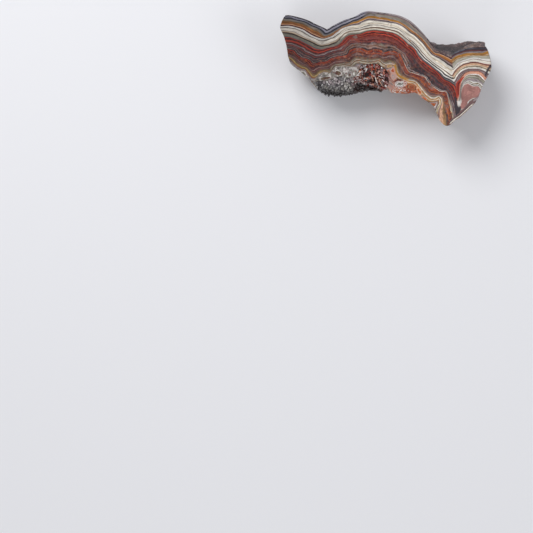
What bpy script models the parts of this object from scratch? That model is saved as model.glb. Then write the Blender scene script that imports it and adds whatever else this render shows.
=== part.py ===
"""A crazy lace agate: a thick end piece of banded stone with one polished face and a crystal-lined hollow.

The stone lies on its sawn back with the polished face up. X runs along its length, Y across it towards the
natural skin, and Z up out of the polished face. The origin is the middle of its footprint, on the sawn back.

The outlines of the polished face and of the sawn back are given stretch by stretch, as steps of one small
unit to the right and down a sheet. A skin stretch is the natural outside of the stone, a break is a
broken side, and the hollow is the part of the edge where the crystals grow.
"""

import math

import bmesh
import bpy
import numpy as np
from mathutils import Matrix, Vector

# Driving dimensions, in metres
FACE_LENGTH = 0.169
THICKNESS = 0.044

# The sheet that the outlines are drawn on
SHEET_FACE_LENGTH = 211.2
STEP = FACE_LENGTH / SHEET_FACE_LENGTH
SHEET_ORIGIN = (385.8055, 68.5065)

# How finely the stone is faceted
EDGE_SPACING = 0.0026
DEPTHS = (0.0, 0.0012, 0.0030, 0.0050, 0.0075, 0.0105, 0.014, 0.0185, 0.0235, 0.029, 0.0345, 0.0395,
          0.0425, THICKNESS)
FOOT_CHAMFER = 0.0010

# Each stretch: its kind, how far it bulges between face and back, and its points on the face and on the back.
# The right lobe's skin flares out below the face.
STRETCHES = (
    ("skin", 0.0,
     ((285.4, 15.2), (290, 15.2), (299.7, 17.4), (308.4, 20.3), (317, 24.6), (323.4, 27.4), (327, 29.2)),
     ((287, 16.8), (291.5, 17), (301, 19.2), (309.5, 22), (317.8, 26), (324, 28.8), (327.5, 30.4))),
    ("skin", 0.0,
     ((327, 29.2), (334.2, 24.9), (344.2, 19.9), (353.6, 17), (362.2, 12.4), (369, 11), (378, 12), (390, 13.5),
      (399.9, 15.6), (409.6, 20.3), (416.8, 26.4), (423.2, 33.2), (429, 40)),
     ((327.5, 30.4), (335, 26.2), (345, 21.4), (354, 18.4), (362.6, 14), (369, 12.6), (378, 13.4), (389.6, 15),
      (399, 17.2), (408.4, 21.8), (415.4, 27.8), (421.6, 33.6), (427, 38.6))),
    ("lobe skin", 0.0,
     ((429, 40), (433.3, 46.1), (439, 51.1), (445.5, 54.7), (449.4, 56.3)),
     ((427, 38.6), (433, 39.7), (440, 39.7), (447, 39.8), (453, 40))),
    ("lobe skin", 0.0,
     ((449.4, 56.3), (455, 52.3), (460, 50), (470, 47.5), (478, 46.8), (486, 47)),
     ((453, 40), (459, 40.4), (465, 40.2), (473, 38), (480, 37.3), (486.4, 40.6))),
    ("lobe skin", 0.0,
     ((486, 47), (488, 50.5), (490, 57), (491.5, 65), (490.8, 70.5), (487.5, 76.8)),
     ((486.4, 40.6), (488.4, 46.5), (489.4, 53), (489.6, 61), (488, 68), (484.4, 74))),
    ("break", 0.0,
     ((487.5, 76.8), (484.5, 82), (481.5, 89), (478.5, 97), (474.5, 104)),
     ((484.4, 74), (481, 80), (477.5, 87), (474, 94), (469.5, 100))),
    ("break", 0.0,
     ((474.5, 104), (469.9, 108.3), (460.6, 116.9), (455, 120.5), (450.2, 125.1)),
     ((469.5, 100), (464.5, 104.5), (457.5, 110.5), (453.5, 114), (450, 117))),
    ("break", -0.0016,
     ((450.2, 125.1), (447, 126), (444, 125), (439.8, 120.5), (436.2, 112.6), (433.3, 106.1), (428.3, 102.5),
      (421.1, 97.2), (415.3, 92.9), (406, 93.9), (396.7, 93.2), (391.7, 92.9), (388.5, 90.5), (387, 87.5)),
     ((450, 117), (447.6, 117.4), (445, 116), (441.6, 110.5), (438, 104), (433.5, 99), (428.5, 95),
      (422.5, 91), (416, 88), (409, 87.4), (402, 87.6), (396, 88), (391.5, 87.6), (387, 86.5))),
    ("hollow", 0.0,
     ((387, 87.5), (389, 81), (388.5, 74), (386, 69.8), (381.5, 66.2), (377, 63.6), (371, 63.8), (365, 64.4),
      (361, 65.5), (359.3, 69.3), (357, 74), (353, 77.3), (347.5, 77.3), (342, 75.8), (336.5, 76.2),
      (331, 78.8), (325, 80.3), (319, 80.6), (313, 81.5)),
     ((387, 86.5), (383, 86), (378, 85), (370, 84.2), (362, 84.8), (356, 86.4), (350, 88), (344, 89),
      (337, 89.7), (330, 89.6), (324, 88.8), (318.5, 87))),
    ("break", 0.0,
     ((313, 81.5), (304.8, 75.3), (299, 70.3), (291.1, 64.2), (288, 56.5)),
     ((318.5, 87), (312.5, 79.5), (305.5, 72.5), (298.5, 65.5), (293.5, 56))),
    ("break", 0.0,
     ((288, 56.5), (286.6, 47), (284, 37), (280.3, 28.5), (280.8, 24), (282.9, 18.8), (285.4, 15.2)),
     ((293.5, 56), (291.5, 47), (288.8, 38), (285.6, 30), (285.2, 24.5), (286, 19.5), (287, 16.8))),
)

# How each kind of side runs from the face down to the back: the depth where it has moved out to the back's line
SKIN_SHOULDER = 0.016
BREAK_SHOULDER = THICKNESS
SLOPE_FOOT = 0.021
SLOPE_STEEPENING = 0.85

# The pocket at the hollow's upper end: its floor comes out as a shelf just under the face, then drops away
SHELF_DEPTHS = (0.0, 0.0012, 0.0030, 0.0050, 0.0075, 0.0105, 0.014)
SHELF_SHARES = (0.0, 0.0, 0.03, 0.17, 0.52, 0.84, 1.0)
SHELF_FROM_SHEET_X = 346
SHELF_TO_SHEET_X = 360

# Lumps of the natural skin and scoops of the broken sides: seed, count, radii, height, and how square they stand.
# The skin first sinks in from its lines, so that its lumps only just reach them.
SKIN_LUMPS = (11, 170, (0.0045, 0.0100), 0.0024, 0.5)
SKIN_GRAINS = (12, 420, (0.0022, 0.0040), 0.0010, 0.5)
SKIN_SINK = 0.0020
SKIN_SWELLS = (13, 34, (0.0110, 0.0240), 0.0052, 0.8)
SWELLS_FADE = 0.010
BREAK_SCOOPS = (5, 40, (0.0100, 0.0230), -0.0075, 1.0)
SKIN_FADE = 0.003
BREAK_FADE = 0.007

# The skin curves in under the stone at its foot, on a quarter of an ellipse
SKIN_TUCK = 0.0070
TUCK_WINDOW = 0.024
HOLLOW_FADE = 0.006
KIND_WINDOW = 0.005
NORMAL_WINDOW = 0.016
MOVE_WINDOW = 0.004
BULGE_WINDOW = 0.008
CURVE_STEP = 0.1
SHARP_ANGLE = 28

# The crust of crystals in the hollow, which thins out towards its rim
CRUST_GAP = 0.0009
CRUST_THICKNESS = 0.0024
CRUST_RIM_SHARE = 0.45
CRUST_RIM_WIDTH = 3.0
CRUST_TOP_DEPTH = 0.0012
CRUST_BELOW_FACE = 0.0004
CRUST_FOOT_DEPTH = 0.0310
CRUST_END_SHARE = 0.40
CRUST_END_ROUNDNESS = 0.6
CRUST_RAGGED = 0.0016
CRUST_RAGGED_WAVES = 7
CRUST_ROWS = 10
CRYSTAL_SEED = 23
CRYSTAL_COUNT = 90
CRYSTAL_TRIES = 5000
CRYSTAL_SIDES = 6
CRYSTAL_RADIUS = (0.0011, 0.0020)
CRYSTAL_SMALLEST = 0.0008
CRYSTAL_HEADROOM = 0.9
POCKET_CRYSTAL_SCALE = 1.5
CRYSTAL_LEAN = 0.36
CRYSTAL_HEIGHT_PER_RADIUS = (1.6, 2.6)
CRYSTAL_TIP_SHARE = 0.55
CRYSTAL_ROOT = 0.0010
CRYSTAL_ROOT_SHARE = 0.5
CRYSTAL_SPACING = 0.90

AGATE_RED = (0.29, 0.085, 0.060, 1.0)
DRUSE_ROSE = (0.46, 0.21, 0.17, 1.0)


def clear_scene():
    for thing in list(bpy.data.objects):
        bpy.data.objects.remove(thing)


def material(name, colour, roughness):
    made = bpy.data.materials.new(name)
    made.use_nodes = True
    shader = made.node_tree.nodes["Principled BSDF"]
    shader.inputs["Base Color"].default_value = colour
    shader.inputs["Roughness"].default_value = roughness
    shader.inputs["Metallic"].default_value = 0.0
    made.diffuse_color = colour
    return made


def smoothstep(value):
    held = np.clip(value, 0.0, 1.0)
    return held * held * (3 - 2 * held)


def from_sheet(points):
    """Sheet points, right and down, as metres in the stone's own X and Y."""
    points = np.array(points, float)
    return np.column_stack([points[:, 0] - SHEET_ORIGIN[0], SHEET_ORIGIN[1] - points[:, 1]]) * STEP


def smooth_curve(points, shares):
    """Points at these shares of the length of a Catmull-Rom curve through the given points."""
    ends = np.vstack([2 * points[0] - points[1], points, 2 * points[-1] - points[-2]])
    fine = []
    for before, start, stop, after in zip(ends, ends[1:], ends[2:], ends[3:]):
        for t in np.arange(0, 1, CURVE_STEP):
            fine.append(0.5 * (2 * start + (stop - before) * t
                               + (2 * before - 5 * start + 4 * stop - after) * t ** 2
                               + (3 * start - before - 3 * stop + after) * t ** 3))
    fine = np.array(fine + [points[-1]])
    length = np.concatenate([[0], np.cumsum(np.linalg.norm(np.diff(fine, axis=0), axis=1))])
    wanted = np.asarray(shares) * length[-1]
    return np.column_stack([np.interp(wanted, length, fine[:, axis]) for axis in (0, 1)]), length[-1]


def walk_round():
    """The stone's edge as arrays with one row a point: place on the face and on the back, kind, bulge, length."""
    rows = {"face": [], "back": [], "kind": [], "bulge": [], "hollow_end": []}
    kind_before = STRETCHES[-1][0]
    for kind, bulge, face_points, back_points in STRETCHES:
        face_points, back_points = from_sheet(face_points), from_sheet(back_points)
        length = smooth_curve(face_points, [0, 1])[1]
        count = max(2, round(length / EDGE_SPACING))
        shares = np.arange(count) / count
        rows["face"].append(smooth_curve(face_points, shares)[0])
        rows["back"].append(smooth_curve(back_points, shares)[0])
        rows["kind"].append(np.full(count, kind))
        rows["bulge"].append(np.full(count, bulge))
        rows["hollow_end"].append((shares == 0) & ((kind == "hollow") != (kind_before == "hollow")))
        kind_before = kind
    edge = {name: np.concatenate(parts) for name, parts in rows.items()}
    steps = np.linalg.norm(np.roll(edge["face"], -1, axis=0) - edge["face"], axis=1)
    edge["along"] = np.concatenate([[0], np.cumsum(steps)[:-1]])
    edge["round"] = steps.sum()
    return edge


def round_distance(along, places, whole):
    """Distances round a closed edge of the given length, the shorter way."""
    apart = np.abs(along[:, None] - np.asarray(places)[None, :])
    return np.minimum(apart, whole - apart)


def averaged(edge, values, window):
    """Values averaged round the edge over a window of this length."""
    weights = np.clip(1 - round_distance(edge["along"], edge["along"], edge["round"]) / window, 0, None)
    weights /= weights.sum(axis=1, keepdims=True)
    return weights @ values


def outward(edge):
    """Smoothed directions out of the stone, level with the face. The edge runs clockwise seen from above."""
    ahead = np.roll(edge["face"], -1, axis=0) - np.roll(edge["face"], 1, axis=0)
    normals = np.column_stack([-ahead[:, 1], ahead[:, 0]])
    normals /= np.linalg.norm(normals, axis=1, keepdims=True)
    normals = averaged(edge, normals, NORMAL_WINDOW)
    return normals / np.linalg.norm(normals, axis=1, keepdims=True)


def relief(edge, depth, seed, count, radii, height, squareness):
    """The highest of many domes scattered over the side, at one depth. A height below nothing makes scoops."""
    random = np.random.default_rng(seed)
    highest = np.zeros(len(edge["along"]))
    for _ in range(count):
        centre, level = random.uniform(0, edge["round"]), random.uniform(-0.004, THICKNESS)
        radius = random.uniform(*radii)
        apart = round_distance(edge["along"], [centre], edge["round"])[:, 0]
        inside = np.clip(1 - (apart ** 2 + (depth - level) ** 2) / radius ** 2, 0, None)
        highest = np.maximum(highest, radius / radii[1] * inside ** squareness)
    return highest * height


def is_skin(edge):
    return (edge["kind"] == "skin") | (edge["kind"] == "lobe skin")


def moved_out(edge, depth):
    """The share of the way from the face's line to the back's line at a depth, for each point of the edge."""
    skin = 1 - (1 - np.clip(depth / SKIN_SHOULDER, 0, 1)) ** 2
    broken = depth / BREAK_SHOULDER
    sheet_x = edge["face"][:, 0] / STEP + SHEET_ORIGIN[0]
    pocket = smoothstep((sheet_x - SHELF_FROM_SHEET_X) / (SHELF_TO_SHEET_X - SHELF_FROM_SHEET_X))
    slope = np.clip(depth / SLOPE_FOOT, 0, 1) ** SLOPE_STEEPENING
    shelf = np.interp(depth, SHELF_DEPTHS, SHELF_SHARES)
    hollow = slope * (1 - pocket) + shelf * pocket
    return np.select([is_skin(edge), edge["kind"] == "break"], [skin, broken], hollow)


def ring(edge, normals, depth):
    """The points of the stone's side at one depth under the polished face."""
    share = averaged(edge, moved_out(edge, depth), MOVE_WINDOW)
    place = edge["face"] + (edge["back"] - edge["face"]) * share[:, None]
    ends = edge["along"][edge["hollow_end"]]
    calm = smoothstep(round_distance(edge["along"], ends, edge["round"]).min(axis=1) / HOLLOW_FADE)
    lumps = relief(edge, depth, *SKIN_LUMPS) + relief(edge, depth, *SKIN_GRAINS) - SKIN_SINK
    swells = relief(edge, depth, *SKIN_SWELLS) - SKIN_SWELLS[3]
    scoops = relief(edge, depth, *BREAK_SCOOPS)
    rough = averaged(edge, is_skin(edge), KIND_WINDOW) * lumps * smoothstep(depth / SKIN_FADE)
    rough += averaged(edge, edge["kind"] == "skin", TUCK_WINDOW) * swells * smoothstep(depth / SWELLS_FADE)
    rough += averaged(edge, edge["kind"] == "break", KIND_WINDOW) * scoops * smoothstep(depth / BREAK_FADE)
    bulge = averaged(edge, edge["bulge"], BULGE_WINDOW) * math.sin(math.pi * depth / THICKNESS)
    bulge -= averaged(edge, is_skin(edge) * SKIN_TUCK, TUCK_WINDOW) * (1 - math.sqrt(1 - (depth / THICKNESS) ** 2))
    chamfer = FOOT_CHAMFER if depth == THICKNESS else 0.0
    place = place + normals * (rough * calm + bulge - chamfer)[:, None]
    return np.column_stack([place, np.full(len(place), THICKNESS - depth)])


def object_from(bm, name, made_of):
    mesh = bpy.data.meshes.new(name)
    bm.to_mesh(mesh)
    bm.free()
    mesh.materials.append(made_of)
    made = bpy.data.objects.new(name, mesh)
    bpy.context.scene.collection.objects.link(made)
    mesh.shade_smooth()
    mesh.set_sharp_from_angle(angle=math.radians(SHARP_ANGLE))
    return made


def build_stone(rings, made_of):
    """The stone: its side ring by ring, closed by the flat polished face and the flat sawn back."""
    bm = bmesh.new()
    loops = [[bm.verts.new(point) for point in points] for points in rings]
    for upper, lower in zip(loops, loops[1:]):
        for i, corner in enumerate(upper):
            j = (i + 1) % len(upper)
            bm.faces.new((corner, upper[j], lower[j]))
            bm.faces.new((corner, lower[j], lower[i]))
    bm.faces.new(loops[0])
    bm.faces.new(loops[-1])
    bmesh.ops.recalc_face_normals(bm, faces=bm.faces)
    return object_from(bm, "agate_stone", made_of)


def surface_normals(patch):
    """Directions out of the stone over a patch of its side, as rings by points, evened out with their neighbours."""
    along = np.gradient(patch, axis=1)
    down = np.gradient(patch, axis=0)
    normals = np.cross(along, down)
    normals /= np.linalg.norm(normals, axis=2, keepdims=True)
    padded = np.pad(normals, ((1, 1), (1, 1), (0, 0)), mode="edge")
    rows, columns = normals.shape[:2]
    normals = sum(padded[r:r + rows, c:c + columns] for r in range(3) for c in range(3))
    return normals / np.linalg.norm(normals, axis=2, keepdims=True)


def crust_sheets(patch, normals):
    """The inner and outer sheet of the crust's bed, just clear of the hollow's wall and thinner at the rim."""
    rows, columns = patch.shape[:2]
    down, along = np.meshgrid(np.arange(rows), np.arange(columns), indexing="ij")
    from_rim = np.minimum(np.minimum(down, rows - 1 - down), np.minimum(along, columns - 1 - along))
    share = CRUST_RIM_SHARE + (1 - CRUST_RIM_SHARE) * smoothstep(from_rim / CRUST_RIM_WIDTH)
    inner = patch + normals * CRUST_GAP
    outer = inner + normals * (CRUST_THICKNESS * share)[:, :, None]
    outer[:, :, 2] = np.minimum(outer[:, :, 2], THICKNESS - CRUST_BELOW_FACE)
    return inner, outer


def crust_bed(inner, outer):
    """The crust's bed as one closed shell."""
    bm = bmesh.new()
    sheets = [[[bm.verts.new(point) for point in row] for row in sheet] for sheet in (inner, outer)]
    rows, columns = inner.shape[:2]
    for sheet in sheets:
        for r in range(rows - 1):
            for c in range(columns - 1):
                bm.faces.new((sheet[r][c], sheet[r][c + 1], sheet[r + 1][c + 1]))
                bm.faces.new((sheet[r][c], sheet[r + 1][c + 1], sheet[r + 1][c]))
    border = [(0, c) for c in range(columns)] + [(r, columns - 1) for r in range(1, rows)]
    border += [(rows - 1, c) for c in range(columns - 2, -1, -1)] + [(r, 0) for r in range(rows - 2, 0, -1)]
    for (r, c), (s, d) in zip(border, border[1:] + border[:1]):
        bm.faces.new((sheets[0][r][c], sheets[0][s][d], sheets[1][s][d]))
        bm.faces.new((sheets[0][r][c], sheets[1][s][d], sheets[1][r][c]))
    bmesh.ops.recalc_face_normals(bm, faces=bm.faces)
    return bm


def crystal(bm, foot, direction, radius, height, spin):
    """One six-sided quartz point: a short prism that widens up from its root, under a pointed cap."""
    turn = direction.to_track_quat("Z", "Y").to_matrix().to_4x4() @ Matrix.Rotation(spin, 4, "Z")
    place = Matrix.Translation(foot) @ turn
    angles = [side * math.tau / CRYSTAL_SIDES for side in range(CRYSTAL_SIDES)]
    prism = []
    for level, share in ((-CRYSTAL_ROOT, CRYSTAL_ROOT_SHARE), (height * (1 - CRYSTAL_TIP_SHARE), 1.0)):
        reach = radius * share
        prism.append([bm.verts.new(place @ Vector((reach * math.cos(angle), reach * math.sin(angle), level)))
                      for angle in angles])
    tip = bm.verts.new(place @ Vector((0, 0, height)))
    bm.faces.new(reversed(prism[0]))
    for i in range(CRYSTAL_SIDES):
        j = (i + 1) % CRYSTAL_SIDES
        bm.faces.new((prism[0][i], prism[0][j], prism[1][j], prism[1][i]))
        bm.faces.new((prism[1][i], prism[1][j], tip))


def crystal_points(bed, normals):
    """Quartz points scattered over the bed, each at its own size and lean, none above the polished face."""
    random = np.random.default_rng(CRYSTAL_SEED)
    bm = bmesh.new()
    placed = []
    rows, columns = bed.shape[:2]
    for _ in range(CRYSTAL_TRIES):
        r, c = random.uniform(0.3, rows - 1.3), random.uniform(0.8, columns - 1.8)
        row, column = int(r), int(c)
        upper = bed[row, column] * (column + 1 - c) + bed[row, column + 1] * (c - column)
        lower = bed[row + 1, column] * (column + 1 - c) + bed[row + 1, column + 1] * (c - column)
        foot = Vector(upper * (row + 1 - r) + lower * (r - row))
        lean = Vector(random.uniform(-CRYSTAL_LEAN, CRYSTAL_LEAN, 3))
        direction = (Vector(normals[row, column]) + lean).normalized()
        radius = random.uniform(*CRYSTAL_RADIUS)
        slimness = random.uniform(*CRYSTAL_HEIGHT_PER_RADIUS)
        spin = random.uniform(0, math.tau)
        if foot.x / STEP + SHEET_ORIGIN[0] > SHELF_FROM_SHEET_X:
            radius *= POCKET_CRYSTAL_SCALE
        room = THICKNESS - CRUST_BELOW_FACE - foot.z
        radius = min(radius, room / (slimness * max(0.0, direction.z) + CRYSTAL_HEADROOM))
        crowded = any((foot - other).length < CRYSTAL_SPACING * (radius + size) for other, size in placed)
        if len(placed) < CRYSTAL_COUNT and radius > CRYSTAL_SMALLEST and not crowded:
            crystal(bm, foot, direction, radius, slimness * radius, spin)
            placed.append((foot, radius))
    bmesh.ops.recalc_face_normals(bm, faces=bm.faces)
    return bm


def build_crust(edge, rings, made_of):
    """The crust of crystals in the hollow, joined into one solid."""
    columns = np.flatnonzero(edge["kind"] == "hollow")[2:-2]
    across = np.linspace(0, math.pi, len(columns))
    feet = CRUST_FOOT_DEPTH * (CRUST_END_SHARE + (1 - CRUST_END_SHARE) * np.sin(across) ** CRUST_END_ROUNDNESS)
    feet += CRUST_RAGGED * np.sin(CRUST_RAGGED_WAVES * across)
    patch = np.empty((CRUST_ROWS, len(columns), 3))
    for c, (column, foot) in enumerate(zip(columns, feet)):
        depths = np.linspace(CRUST_TOP_DEPTH, foot, CRUST_ROWS)
        for axis in range(3):
            patch[:, c, axis] = np.interp(depths, DEPTHS, [points[column, axis] for points in rings])
    normals = surface_normals(patch)
    inner, outer = crust_sheets(patch, normals)
    points = object_from(crystal_points(outer, normals), "crystal_points", made_of)
    points.hide_render = True
    points.display_type = "WIRE"
    crust = object_from(crust_bed(inner, outer), "druse_crust", made_of)
    joined = crust.modifiers.new("Crystals", "BOOLEAN")
    joined.operation = "UNION"
    joined.solver = "EXACT"
    joined.use_self = True
    joined.object = points
    return crust


def main():
    clear_scene()
    edge = walk_round()
    normals = outward(edge)
    rings = [ring(edge, normals, depth) for depth in DEPTHS]
    build_stone(rings, material("banded_agate", AGATE_RED, 0.25))
    build_crust(edge, rings, material("quartz_druse", DRUSE_ROSE, 0.30))


main()
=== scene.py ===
"""The looks of a crazy lace agate, laid out as a Blender add-on and run as a script.

The stone's outside is one surface: its side is a grid that runs round the edge and down from the polished
face to the sawn back, and both ends are filled. Each point of it knows which layer of the lace it lies in,
so the bands run on down the breaks and over the back. The hollow holds one crust of quartz crystals.

The outlines and the fronts between the layers are given on a sheet, as steps of one small unit to the right
and down it.
"""

import math

import bpy
import numpy as np
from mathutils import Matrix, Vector
from mathutils.geometry import delaunay_2d_cdt


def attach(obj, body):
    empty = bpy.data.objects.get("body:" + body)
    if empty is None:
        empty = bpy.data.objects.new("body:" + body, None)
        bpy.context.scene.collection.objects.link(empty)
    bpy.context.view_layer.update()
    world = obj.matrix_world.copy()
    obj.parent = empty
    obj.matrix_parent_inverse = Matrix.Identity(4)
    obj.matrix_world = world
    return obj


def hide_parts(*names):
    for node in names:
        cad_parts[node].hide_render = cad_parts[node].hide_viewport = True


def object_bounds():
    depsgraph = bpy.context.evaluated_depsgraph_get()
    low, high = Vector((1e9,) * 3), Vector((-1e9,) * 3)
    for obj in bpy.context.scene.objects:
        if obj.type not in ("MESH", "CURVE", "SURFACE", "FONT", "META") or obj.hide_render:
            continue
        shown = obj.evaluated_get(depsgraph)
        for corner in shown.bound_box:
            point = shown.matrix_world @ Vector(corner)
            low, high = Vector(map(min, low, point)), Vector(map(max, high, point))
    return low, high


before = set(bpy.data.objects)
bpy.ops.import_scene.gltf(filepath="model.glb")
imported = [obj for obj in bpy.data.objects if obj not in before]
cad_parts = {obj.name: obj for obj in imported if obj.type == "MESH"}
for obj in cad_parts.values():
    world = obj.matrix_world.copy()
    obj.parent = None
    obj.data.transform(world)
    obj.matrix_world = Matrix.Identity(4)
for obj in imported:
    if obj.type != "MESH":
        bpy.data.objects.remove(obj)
CAD_BOX = [list(corner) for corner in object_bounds()]

bl_info = {
    "name": "Crazy lace agate",
    "version": (1, 0, 0),
    "blender": (4, 5, 0),
    "location": "3D View > Sidebar > Agate",
    "description": "Builds a banded agate with a polished face, a natural skin and a crystal-lined hollow",
    "category": "Add Mesh",
}

# The sheet that the outlines are drawn on
FACE_LENGTH = 0.169
SHEET_FACE_LENGTH = 211.2
STEP = FACE_LENGTH / SHEET_FACE_LENGTH
SHEET_ORIGIN = (385.8055, 68.5065)
THICKNESS = CAD_BOX[1][2] - CAD_BOX[0][2]

# Each stretch of the edge: its kind, its bulge between face and back, and its points on face and back.
# The right lobe's skin flares out below the face.
STRETCHES = (
    ("skin", 0.0,
     ((285.4, 15.2), (290, 15.2), (299.7, 17.4), (308.4, 20.3), (317, 24.6), (323.4, 27.4), (327, 29.2)),
     ((287, 16.8), (291.5, 17), (301, 19.2), (309.5, 22), (317.8, 26), (324, 28.8), (327.5, 30.4))),
    ("skin", 0.0,
     ((327, 29.2), (334.2, 24.9), (344.2, 19.9), (353.6, 17), (362.2, 12.4), (369, 11), (378, 12),
      (390, 13.5), (399.9, 15.6), (409.6, 20.3), (416.8, 26.4), (423.2, 33.2), (429, 40)),
     ((327.5, 30.4), (335, 26.2), (345, 21.4), (354, 18.4), (362.6, 14), (369, 12.6), (378, 13.4),
      (389.6, 15), (399, 17.2), (408.4, 21.8), (415.4, 27.8), (421.6, 33.6), (427, 38.6))),
    ("lobe skin", 0.0,
     ((429, 40), (433.3, 46.1), (439, 51.1), (445.5, 54.7), (449.4, 56.3)),
     ((427, 38.6), (433, 39.7), (440, 39.7), (447, 39.8), (453, 40))),
    ("lobe skin", 0.0,
     ((449.4, 56.3), (455, 52.3), (460, 50), (470, 47.5), (478, 46.8), (486, 47)),
     ((453, 40), (459, 40.4), (465, 40.2), (473, 38), (480, 37.3), (486.4, 40.6))),
    ("lobe skin", 0.0,
     ((486, 47), (488, 50.5), (490, 57), (491.5, 65), (490.8, 70.5), (487.5, 76.8)),
     ((486.4, 40.6), (488.4, 46.5), (489.4, 53), (489.6, 61), (488, 68), (484.4, 74))),
    ("break", 0.0,
     ((487.5, 76.8), (484.5, 82), (481.5, 89), (478.5, 97), (474.5, 104)),
     ((484.4, 74), (481, 80), (477.5, 87), (474, 94), (469.5, 100))),
    ("break", 0.0,
     ((474.5, 104), (469.9, 108.3), (460.6, 116.9), (455, 120.5), (450.2, 125.1)),
     ((469.5, 100), (464.5, 104.5), (457.5, 110.5), (453.5, 114), (450, 117))),
    ("break", -0.0016,
     ((450.2, 125.1), (447, 126), (444, 125), (439.8, 120.5), (436.2, 112.6), (433.3, 106.1), (428.3, 102.5),
      (421.1, 97.2), (415.3, 92.9), (406, 93.9), (396.7, 93.2), (391.7, 92.9), (388.5, 90.5), (387, 87.5)),
     ((450, 117), (447.6, 117.4), (445, 116), (441.6, 110.5), (438, 104), (433.5, 99), (428.5, 95),
      (422.5, 91), (416, 88), (409, 87.4), (402, 87.6), (396, 88), (391.5, 87.6), (387, 86.5))),
    ("hollow", 0.0,
     ((387, 87.5), (389, 81), (388.5, 74), (386, 69.8), (381.5, 66.2), (377, 63.6), (371, 63.8), (365, 64.4),
      (361, 65.5), (359.3, 69.3), (357, 74), (353, 77.3), (347.5, 77.3), (342, 75.8), (336.5, 76.2),
      (331, 78.8), (325, 80.3), (319, 80.6), (313, 81.5)),
     ((387, 86.5), (383, 86), (378, 85), (370, 84.2), (362, 84.8), (356, 86.4), (350, 88), (344, 89),
      (337, 89.7), (330, 89.6), (324, 88.8), (318.5, 87))),
    ("break", 0.0,
     ((313, 81.5), (304.8, 75.3), (299, 70.3), (291.1, 64.2), (288, 56.5)),
     ((318.5, 87), (312.5, 79.5), (305.5, 72.5), (298.5, 65.5), (293.5, 56))),
    ("break", 0.0,
     ((288, 56.5), (286.6, 47), (284, 37), (280.3, 28.5), (280.8, 24), (282.9, 18.8), (285.4, 15.2)),
     ((293.5, 56), (291.5, 47), (288.8, 38), (285.6, 30), (285.2, 24.5), (286, 19.5), (287, 16.8))),
)

# How the side goes from the face's line to the back's line: depths in metres and shares of the way
SKIN_SHOULDER = 0.016
SLOPE_FOOT = 0.021
SLOPE_POWER = 0.85
SHELF_DEPTHS = (0.0, 0.0012, 0.0030, 0.0050, 0.0075, 0.0105, 0.014)
SHELF_SHARES = (0.0, 0.0, 0.03, 0.17, 0.52, 0.84, 1.0)
SHELF_START, SHELF_STOP = 346, 360

# The side's relief as domes: seed, count, smallest and largest radius, height, and power of slope
SKIN_LUMPS = (11, 170, (0.0045, 0.0100), 0.0024, 0.5)
SKIN_GRAINS = (12, 420, (0.0022, 0.0040), 0.0010, 0.5)
SKIN_SWELLS = (13, 34, (0.0110, 0.0240), 0.0052, 0.8)
BREAK_SCOOPS = (5, 40, (0.0100, 0.0230), -0.0075, 1.0)
HIGHEST_DOME = -0.004
SKIN_SINK = 0.0020
SKIN_TUCK = 0.0070
TUCK_REACH = 0.985
HOLLOW_LEVEL = 0.7
HOLLOW_ROUGHNESS = 0.8
FOOT_CHAMFER = 0.0010
CHAMFER_HEIGHT = 0.0015

# Small pebbles and chips: size, seed and weight of their noise, and how far a chip's axes are squeezed
PEBBLES = ((0.0036, 31, 0.9), (0.0017, 32, 0.5))
PEBBLE_DUST = (0.0008, 33, 0.3)
CHIPS = ((0.0085, 34, 1.0, (1.0, 1.0, 1.6)), (0.0026, 35, 0.5, (1.0, 1.0, 1.0)))
CHIP_DUST = (0.0010, 36, 0.25)

# Lengths over which the relief sets in, and stretches of edge that values are averaged over
SKIN_FADE = 0.003
SWELLS_FADE = 0.010
BREAK_FADE = 0.007
HOLLOW_FADE = 0.006
SHARE_WINDOW = 0.004
KIND_WINDOW = 0.005
BULGE_WINDOW = 0.008
NORMAL_WINDOW = 0.016
TUCK_WINDOW = 0.024

# How much of the pebbles and of a metre of the lumps counts as sunk
PEBBLE_SHADE = 0.55
LUMP_SHADE = 320

# Rows of points under the rim, and the lattices that fill the face and the back
RIM_ROWS = (0, 0.00025, 0.0006)
FIRST_ROW = 0.0012
FACE_SEED, BACK_SEED = 3, 4
ROW_SHARE, SHAKE, CLEARANCE = 0.866, 0.12, 0.5

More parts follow.
